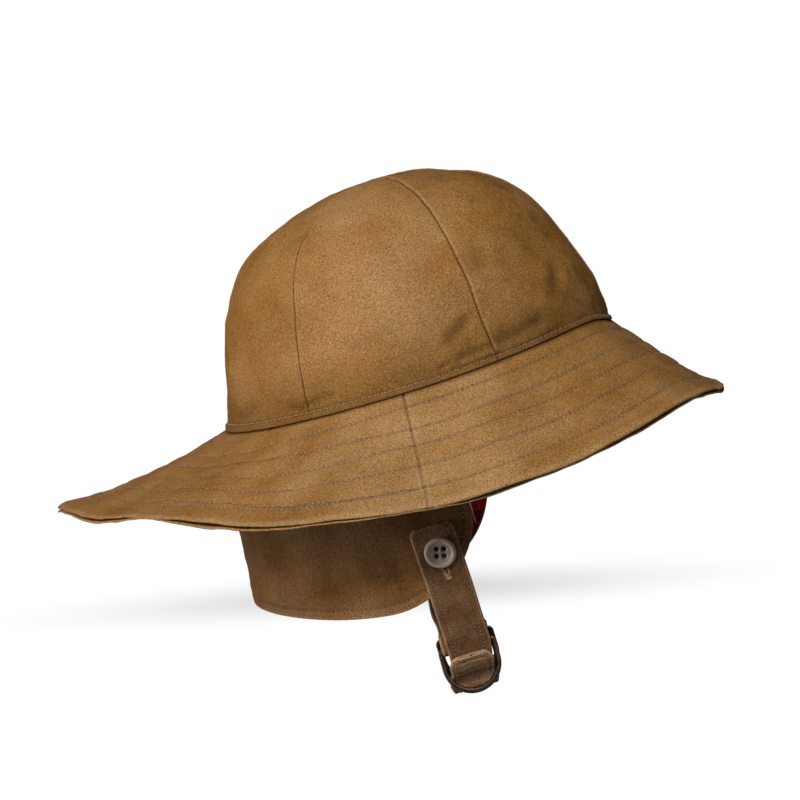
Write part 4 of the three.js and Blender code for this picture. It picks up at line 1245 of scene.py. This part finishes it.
# A strap as a cloth over across, from -1 to 1, and the distance along it in mm. cloth is its outer face and
# reverse its inner one, which shows at the folded end. slit is the buttonhole's top and bottom along it.
class Strap:
    def __init__(self, stops, facing, seed, round_end=0, slit=None):
        points = [p for p, _, _ in stops]
        places = np.linspace(0, len(points) - 1, 40 * len(points))
        dense = catmull_rom(points, places)
        self.arc = running_length(dense)
        self.dense = dense
        self.skews = np.interp(places, range(len(stops)), [s for _, _, s in stops])
        keyed = np.array([(k, h) for k, (_, h, _) in enumerate(stops)], float)
        self.halves = read_table(keyed, 1, places)
        self.length = self.arc[-1]
        self.facing = facing
        self.seed = seed
        self.round_end = round_end
        self.slit = slit
        self.cloth = Cloth(self.face(1), self.relief, (0.02, 0.25), 1)
        self.reverse = Cloth(self.face(-1), self.relief, (0.02, 0.25), -1)

    def half(self, along):
        half = np.interp(along, self.arc, self.halves)
        r = STRAP_CORNER
        corner = STRAP_HALF - r + np.sqrt(np.maximum(r * r - (r - np.clip(along, 0, r)) ** 2, 0))
        half = np.where(along < r, corner, half)
        if self.round_end:
            r = self.round_end
            d = np.clip(self.length - along, 0, r)
            shape = np.sqrt(np.maximum(1 - (1 - d / r) ** 2, 0)) ** 0.9
            rounded = np.minimum(half, STRAP_HALF * (0.34 + 0.7 * shape))
            half = np.where(along > self.length - r, rounded, half)
        return half

    def centre(self, across, along):
        point = np.stack([np.interp(along, self.arc, self.dense[:, k]) for k in range(3)], -1)
        half = self.half(along)
        skew = np.interp(along, self.arc, self.skews)
        shift = across * np.maximum(half - 0.9 * STRAP_THICKNESS / 2, 0.4) * self.facing
        return point + np.stack([shift, shift * skew, 0 * shift], -1)

    def face(self, side):
        def base(across, along):
            ahead = self.centre(across + 0.02, along) - self.centre(across - 0.02, along)
            onward = self.centre(across, along + 0.3) - self.centre(across, along - 0.3)
            normal = unit(np.cross(ahead, onward))
            return self.centre(across, along) + normal * side * STRAP_THICKNESS / 2

        return base

    def relief(self, across, along, points):
        half = self.half(along)
        edge = half * (1 - np.abs(across))
        end = np.minimum(along, self.length - along)
        edge = np.minimum(edge, np.where(end < 6, end, edge))
        groove = bump(edge - STRAP_STITCH_IN, 0.4)
        height = 0.16 * waves(points, 18, self.seed) + 0.06 * waves(points, 6, self.seed + 1)
        height = height * smooth(edge, 0, 4) - 0.13 * groove + 0.06 * bump(edge - 1.5, 0.8)
        pinch = np.sin(2 * np.pi * along / 2.5)
        height += 0.04 * pinch * bump(edge - STRAP_STITCH_IN, 1.5)
        crease = np.sin(2 * np.pi * along / 3.1 + 1.3 * waves(points, 20, self.seed + 2))
        height += 0.1 * crease * smooth(along, self.length - 26, self.length - 14)
        if self.slit:
            top, bottom = self.slit
            inside = smooth(along, top, top + 1) * (1 - smooth(along, bottom - 1, bottom))
            height -= 1.2 * inside * bump(points[..., 0] - BUTTON_FORWARD, 0.5)
        # Patchy wear, plus a painted highlight along the strap's edges.
        rub_and_highlight = 0.1 + 0.16 * waves(points, 20, self.seed + 3) + 0.75 * (1 - smooth(edge, 0, 0.35))
        rub_and_highlight += 0.5 * smooth(along, self.length - 32, self.length - 16)
        return height, rub_and_highlight, 0.2 * groove


slit_start = BUTTON_DROP - STRAP_TOP - 1.6
buttoned = Strap(buttoned_stops(), -1, 71, 7, (slit_start, slit_start + BUTTONHOLE_LENGTH))
sewn = Strap(sewn_stops(), 1, 81)
from_edge = np.array([0, 0.012, 0.03, 0.06, 0.1, 0.14, 0.175, 0.2, 0.225, 0.255, 0.3, 0.4, 0.55])
from_edge = np.concatenate([from_edge, [0.7, 0.8, 0.88, 0.93, 0.97]])
across = np.concatenate([from_edge - 1, [0], (1 - from_edge)[::-1]])
from_end = [0.25, 0.6, 1.0, 1.5, 2.0, 2.5, 3.1, 3.8]
for strap, node in ((buttoned, "chin_strap_buttoned"), (sewn, "chin_strap_sewn")):
    along = crowded(strap.length - 1.6, from_end, 1.1) + 0.8
    a, b = np.meshgrid(across, along, indexing="ij")
    add_sheet(f"{node}_cloth", strap.cloth, a, b, STRAP_THICKNESS, 1, STRAP_CLOTH, [node])


# Where the wire of a ring runs: round a corner, the arc, the other corner and back along the straight bar.
def ring_path():
    half = RING_INNER / 2 + WIRE
    corner = RING_WIRE
    quarter = np.linspace(0, np.pi / 2, 8)
    arc = np.linspace(0, np.pi, 48)
    bar = mix(-half + corner, half - corner, np.linspace(0, 1, 14)[1:-1])
    x = [half - corner + corner * np.sin(quarter), half * np.cos(arc)]
    x += [-half + corner - corner * np.cos(quarter), bar]
    z = [-corner + corner * np.cos(quarter), -RING_STRAIGHT - RING_RADIUS * np.sin(arc)]
    z += [-corner + corner * np.sin(quarter), 0 * bar]
    return np.stack([np.concatenate(x), np.concatenate(z)], -1)


# D-rings: wire flattened towards the inside, with a painted highlight on its outer side and painted shade on
# its inner side.
def add_ring(name, bar, tilt, node):
    centres = ring_path()
    ahead = unit(np.roll(centres, -1, axis=0) - np.roll(centres, 1, axis=0))
    inward = np.stack([ahead[:, 1], -ahead[:, 0]], -1)
    sides = 16
    turns = 2 * np.pi * np.arange(sides) / sides
    wide = WIRE * (1.45 * np.sign(np.cos(turns)) * np.abs(np.cos(turns)) ** 0.6 + 0.55)
    deep = WIRE * np.sign(np.sin(turns)) * np.abs(np.sin(turns)) ** 0.6
    x = centres[:, None, 0] + inward[:, None, 0] * wide
    z = centres[:, None, 1] + inward[:, None, 1] * wide
    y = 0 * x + deep
    c = math.cos(tilt)
    s = math.sin(tilt)
    points = bar + np.stack([x, c * y + s * z, -s * y + c * z], -1)
    index = np.arange(len(centres) * sides).reshape(len(centres), sides)
    ahead_index = np.roll(index, -1, axis=0)
    faces = np.stack([index, np.roll(index, -1, axis=1), np.roll(ahead_index, -1, axis=1), ahead_index], -1)
    rows = np.arange(len(centres)) * 1.4
    lengthwise, round_wire = np.meshgrid(rows, np.arange(sides) * 0.4, indexing="ij")
    uv = np.stack([lengthwise, round_wire], -1).reshape(-1, 2) * MM
    outer_highlight = np.broadcast_to(smooth(-np.cos(turns), 0.3, 0.95), lengthwise.shape)
    shaded = np.broadcast_to(smooth(np.cos(turns), -0.5, 0.4), lengthwise.shape)
    wear_and_painted_light = np.stack([outer_highlight, shaded], -1).reshape(-1, 2)
    faces = faces.reshape(-1, 4).tolist()
    return add_mesh(name, points.reshape(-1, 3), faces, uv, wear_and_painted_light, RING_METAL, [node])


add_ring("d_ring_back_wire", BACK_BAR, 0, "d_ring_back")
add_ring("d_ring_front_wire", FRONT_BAR, RING_TILT, "d_ring_front")


HOLLOW_RADIUS = 5.4
EDGE_START = 7.2
SHANK_RADIUS = 1.4


# Button: a turned disc with a raised rim, a round hollow and four holes, on a shank of thread.
def add_button():
    seat = on_flap(-1, BUTTON_FORWARD, BUTTON_DROP, STRAP_OUT + STRAP_THICKNESS / 2 + CLOTH_GAP)
    foot = on_flap(-1, BUTTON_FORWARD, BUTTON_DROP, 0)
    axis = unit(seat - foot)
    side = unit(np.cross(axis, [0, 0, 1]))
    top = np.cross(side, axis)
    rings = np.concatenate([np.linspace(0.05, HOLLOW_RADIUS, 54), np.linspace(5.5, BUTTON_RADIUS, 34)])
    turns = np.linspace(0, 2 * np.pi, 145)[:-1]
    r, turn = np.meshgrid(rings, turns, indexing="ij")
    x = r * np.cos(turn)
    y = r * np.sin(turn)
    floor = BUTTON_THICKNESS * 0.66 + 0.25 * (r / 6) ** 2
    rim = BUTTON_THICKNESS - 0.5 * ((r - 6.7) / 1.2) ** 2
    height = mix(floor, rim, smooth(r, 5.0, 6.1))
    rounded = np.sqrt(np.clip(1 - ((r - EDGE_START) / (BUTTON_RADIUS - EDGE_START)) ** 2, 0, 1))
    edge = BUTTON_THICKNESS * (0.62 + 0.35 * rounded)
    height = np.where(r > EDGE_START, np.minimum(height, edge), height)
    nearest = np.full_like(r, 99.0)
    for quarter in range(4):
        turned = math.radians(BUTTON_TURN + 45 + 90 * quarter)
        out = BUTTON_HOLE_OUT * math.sqrt(2)
        nearest = np.minimum(nearest, np.hypot(x - out * math.cos(turned), y - out * math.sin(turned)))
    height -= 0.45 * (1 - smooth(nearest, BUTTON_HOLE + 0.35, BUTTON_HOLE + 0.75))
    # The holes sink, and inside them painted shade turns them near black.
    inside = 1 - smooth(nearest, BUTTON_HOLE, BUTTON_HOLE + 0.22)
    height -= 1.6 * inside
    # Painted highlight round each hole and on the rim.
    rubbed_and_highlit = 0.9 * bump(nearest - BUTTON_HOLE - 0.55, 0.2) * (r < 5) + 0.7 * bump(r - 6.9, 0.5)
    profile = [(BUTTON_RADIUS, BUTTON_THICKNESS * 0.4), (7.4, BUTTON_THICKNESS * 0.2)]
    profile += [(6.4, 0.1), (5.2, 0.0)]
    profile += [(SHANK_RADIUS, down) for down in (0.0, -1.2, -2.6)]
    below = np.array(profile)[:, :, None] * np.ones(len(turns))
    radii = np.concatenate([r, below[:, 0]])
    heights = np.concatenate([height, below[:, 1]])
    turn = np.broadcast_to(turns, radii.shape)
    wear_and_painted_light = np.zeros(radii.shape + (2,))
    wear_and_painted_light[:len(r), :, 0] = rubbed_and_highlit
    wear_and_painted_light[:len(r), :, 1] = inside
    flat = np.stack([radii * np.cos(turn), radii * np.sin(turn)], -1)
    points = seat + side * flat[..., :1] + top * flat[..., 1:] + axis * heights[..., None]
    index = np.arange(radii.size).reshape(radii.shape)
    ahead = np.roll(index, -1, axis=1)
    faces = np.stack([index[:-1], index[1:], ahead[1:], ahead[:-1]], -1).reshape(-1, 4).tolist()
    faces.append(index[0].tolist())
    faces.append(index[-1][::-1].tolist())
    points = points.reshape(-1, 3)
    uv = flat.reshape(-1, 2) * MM
    wear_and_painted_light = wear_and_painted_light.reshape(-1, 2)
    return add_mesh("button_disc", points, faces, uv, wear_and_painted_light, BUTTON_SHELL, ["button"])


add_button()

# Stitching. Each kind of stitch has its pitch, length and width in mm.
HEM_STITCH = (1.7, 1.5, 0.42)
SEAM_STITCH = (2.4, 1.3, 0.34)
BRIM_STITCH = (2.5, 1.75, 0.56)
BRIM_SIDE_STITCH = (2.2, 1.1, 0.36)
FLAP_STITCH = (2.5, 1.7, 0.46)
FLAP_EDGE_STITCH = (1.0, 1.05, 0.55)
STRAP_STITCH = (2.4, 1.6, 0.5)
STRAP_END_STITCH = (0.9, 0.8, 0.5)

hem_thread = Thread()
around = np.linspace(0, 360, 2400)
rises_tried = read_table(CROWN_OUTLINE, 1, shares_tried)


def share_above(angle, above):
    rise = above / (CROWN_HEIGHT - seam_point(angle)[..., 2])
    return np.interp(rise, rises_tried, shares_tried)


hem_row = share_above(around, hem_stitch_height(around))
hem_thread.sew(crown, around, hem_row, *HEM_STITCH, slant=0.45, lift=0.05)
hem_thread.finish("hem_stitches", HEM_THREAD, "crown_cloth")

seam_thread = Thread()
up_seam = np.interp(np.linspace(4.6, lengths_tried[-1] - 6, 500), lengths_tried, shares_tried)
for seam_angle in PANEL_ANGLES[:6]:
    seam_thread.sew(crown, np.full(500, seam_angle), up_seam, *SEAM_STITCH, lift=-0.1)
seam_thread.finish("crown_seam_stitches", DARK_THREAD, "crown_cloth")

for ply in ("upper", "under"):
    brim_thread = Thread()
    for back in (False, True):
        part = "back" if back else "front"
        low = left_seam + 2.3 if back else -left_seam - 0.6
        high = 357.7 - left_seam if back else left_seam + 0.6
        along = np.linspace(low, high, 1500)
        for row in stitch_rows(along, back):
            brim_thread.sew(brim_cloths[part, ply], along, row, *BRIM_STITCH, lift=0.14, keep=row > 0.8)
    brim_thread.finish(f"brim_stitches_{ply}", SEAM_THREAD, "brim_cloth")

side_thread = Thread()
for sign in (1, -1):
    down = np.linspace(1, BRIM_FRONT - 1.5, 300)
    seam_line = brim_seam_angle(sign * left_seam + 0 * down, down / BRIM_FRONT)
    side_thread.sew(brim_cloths["front", "upper"], seam_line, down, *BRIM_SIDE_STITCH, lift=0.02)
side_thread.finish("brim_side_stitches", DARK_THREAD, "brim_cloth")


# The flap's hem row: the outline moved in.
def flap_hem_path():
    tangent = unit(np.stack([np.gradient(FLAP_X), np.gradient(FLAP_Y)], -1))
    inward = np.stack([tangent[:, 1], -tangent[:, 0]], -1)
    x = FLAP_X + inward[:, 0] * HEM_IN
    y = FLAP_Y + inward[:, 1] * HEM_IN
    keep = (flap_edge_distance(flap_angle_at(x), y) > HEM_IN - 0.35) & (y > 4)
    return flap_angle_at(x[keep]), y[keep]


flap_thread = Thread()
hem_angle, hem_drop = flap_hem_path()
flap_thread.sew(flap, hem_angle, hem_drop, *FLAP_STITCH, lift=0.06)
flap_thread.sew(lining, hem_angle, hem_drop, *FLAP_STITCH, lift=0.1)
flap_thread.finish("flap_stitches", SEAM_THREAD, "flap_cloth")

edge_thread = Thread()
down = np.linspace(2, 92, 400)
for end in (FLAP_ANGLE + 0.35, 359.65 - FLAP_ANGLE):
    ends = np.full(400, end)
    from_edge = flap_edge_distance(ends, down)
    inside = (from_edge > 0.1) & (from_edge < 1.6)
    edge_thread.sew(flap, ends[inside], down[inside], *FLAP_EDGE_STITCH, lift=0.16)

strap_thread = Thread()
for strap in (buttoned, sewn):
    along = np.linspace(STRAP_STITCH_IN, strap.length - STRAP_STITCH_IN - 1.5, 600)
    for sign in (-1, 1):
        across = sign * (1 - STRAP_STITCH_IN / strap.half(along))
        for face in (strap.cloth, strap.reverse):
            strap_thread.sew(face, across, along, *STRAP_STITCH, lift=0.12)
    for end in (STRAP_STITCH_IN, strap.length - STRAP_STITCH_IN):
        reach = 1 - STRAP_STITCH_IN / float(strap.half(np.array(end)))
        across = np.linspace(-reach, reach, 60)
        for face in (strap.cloth, strap.reverse):
            strap_thread.sew(face, across, np.full(60, end), *STRAP_STITCH, lift=0.12)
across = np.linspace(-0.93, 0.93, 90)
near_end = np.full(90, buttoned.length - 1.1)
edge_thread.sew(buttoned.reverse, across, near_end, *STRAP_END_STITCH, slant=0.7, lift=0.1)
edge_thread.finish("edge_stitches", EDGE_THREAD, "strap_cloth")
strap_thread.finish("strap_stitches", STRAP_THREAD, "strap_cloth")

# Buttonhole: close stitches down both sides of the slit and a bar tack across its lower end
hole_thread = Thread()
slit_top, slit_bottom = buttoned.slit
slit_across = (BUTTON_FORWARD - STRAP_FORWARD) / STRAP_HALF * buttoned.facing
steps = np.arange(slit_top + 0.5, slit_bottom - 0.4, 0.42)
for sign in (-1, 1):
    offset = sign * 1.15 / STRAP_HALF + slit_across
    points, normals, _, _ = buttoned.cloth.at(np.full(len(steps), offset), steps)
    inner, _, _, _ = buttoned.cloth.at(np.full(len(steps), mix(slit_across, offset, 0.4)), steps)
    hole_thread.add(points, unit(points - inner), normals, 1.8, 0.42, 0.12)
for k, down in enumerate(np.arange(slit_bottom - 2.6, slit_bottom + 2.2, 0.36)):
    points, normals, _, _ = buttoned.cloth.at(np.array([slit_across]), np.array([down]))
    slanted = np.array([down + (0.12 if k % 2 else -0.12)])
    right, _, _, _ = buttoned.cloth.at(np.array([slit_across + 0.1]), slanted)
    hole_thread.add(points, unit(right - points), normals, 4.2, 0.44, 0.22)
hole_thread.finish("buttonhole_stitches", HOLE_THREAD, "strap_cloth")

# Stage, light and camera
AZIMUTH = math.radians(5.060)
ELEVATION = math.radians(4.785)
ROLL = math.radians(17.302)
CAMERA_DISTANCE = 1.4
LENS = 122.33
SHIFT_X = -0.0228
SHIFT_Y = -0.0326

toward = np.array([
    math.sin(AZIMUTH) * math.cos(ELEVATION),
    -math.cos(AZIMUTH) * math.cos(ELEVATION),
    math.sin(ELEVATION),
])
level = np.array([math.cos(AZIMUTH), math.sin(AZIMUTH), 0])
above = np.cross(toward, level)
picture_right = math.cos(ROLL) * level - math.sin(ROLL) * above
picture_up = math.sin(ROLL) * level + math.cos(ROLL) * above


def place(right, up, near):
    return picture_right * right + picture_up * up + toward * near


def matrix_facing(x_axis, y_axis, z_axis, location):
    columns = np.eye(4)
    columns[:3, 0] = x_axis
    columns[:3, 1] = y_axis
    columns[:3, 2] = z_axis
    columns[:3, 3] = location
    return Matrix(columns.tolist())


camera_data = bpy.data.cameras.new("photo_camera")
camera_data.sensor_width = 36
camera_data.lens = LENS
camera_data.shift_x = SHIFT_X
camera_data.shift_y = SHIFT_Y
camera_data.clip_end = 50
camera = bpy.data.objects.new("photo_camera", camera_data)
camera.matrix_world = matrix_facing(picture_right, picture_up, toward, toward * CAMERA_DISTANCE)
bpy.context.scene.collection.objects.link(camera)
bpy.context.scene.camera = camera


def add_light(name, location, target, width, height, power):
    data = bpy.data.lights.new(name, "AREA")
    data.shape = "RECTANGLE"
    data.size = width
    data.size_y = height
    data.energy = power
    light = bpy.data.objects.new(name, data)
    z_axis = unit(np.asarray(location) - np.asarray(target))
    x_axis = unit(np.cross(picture_up + 1e-3, z_axis))
    light.matrix_world = matrix_facing(x_axis, np.cross(z_axis, x_axis), z_axis, location)
    bpy.context.scene.collection.objects.link(light)


# A name, a place, an aim, a width and a height in metres, and a power in watts
add_light("key", place(-0.3, 0.74, 1.3), place(0, -0.02, 0), 0.42, 0.42, 20.5)
add_light("fill", place(-1.2, -0.25, 0.35), place(0, -0.08, 0), 0.5, 0.7, 6.3)

# The world is dim all round but for the white wall behind the hat, which carries a faint, wide shadow of the
# hat painted into it.
studio = Nodes(bpy.data.worlds.new("studio"))
bpy.context.scene.world = studio.owner
background = studio.tree.nodes["Background"]
background.inputs["Color"].default_value = (1, 1, 1, 1)
way = studio.coordinates()["Generated"]


def world_along(axis):
    node = studio.new("ShaderNodeVectorMath", operation="DOT_PRODUCT")
    studio.fill(node.inputs, (way, axis.tolist()))
    return node.outputs["Value"]


def world_bump(value, middle, reach):
    away = studio.maths("DIVIDE", studio.maths("SUBTRACT", value, middle), reach)
    return studio.maths("POWER", math.exp(-1), studio.maths("MULTIPLY", away, away))


# Strengths of the wall and of what is round it, and the shadow's depth. The shadow's places are shares of
# the distance to the hat, and its band slants down to the left.
WALL = 1.03
ROUND = 0.1
SHADOW_DEPTH = 0.34
SHADOW_RIGHT = -0.0104
SHADOW_UP = -0.0796
SHADOW_HALF_WIDTH = 0.094
SHADOW_HALF_HEIGHT = 0.0063
SHADOW_SLANT = 0.068
WALL_START = 0.9
WALL_FULL = 0.97
wall = studio.remap(world_along(-toward), WALL_START, WALL_FULL, ROUND, WALL, "SMOOTHSTEP")
slanted = picture_up - SHADOW_SLANT * picture_right
shadow = studio.maths(
    "MULTIPLY",
    world_bump(world_along(picture_right), SHADOW_RIGHT, SHADOW_HALF_WIDTH),
    world_bump(world_along(slanted), SHADOW_UP, SHADOW_HALF_HEIGHT),
)
shade = studio.maths("SUBTRACT", 1.0, studio.maths("MULTIPLY", shadow, SHADOW_DEPTH))
studio.link(studio.maths("MULTIPLY", wall, shade), background.inputs["Strength"])

bpy.context.scene.view_settings.view_transform = "Standard"
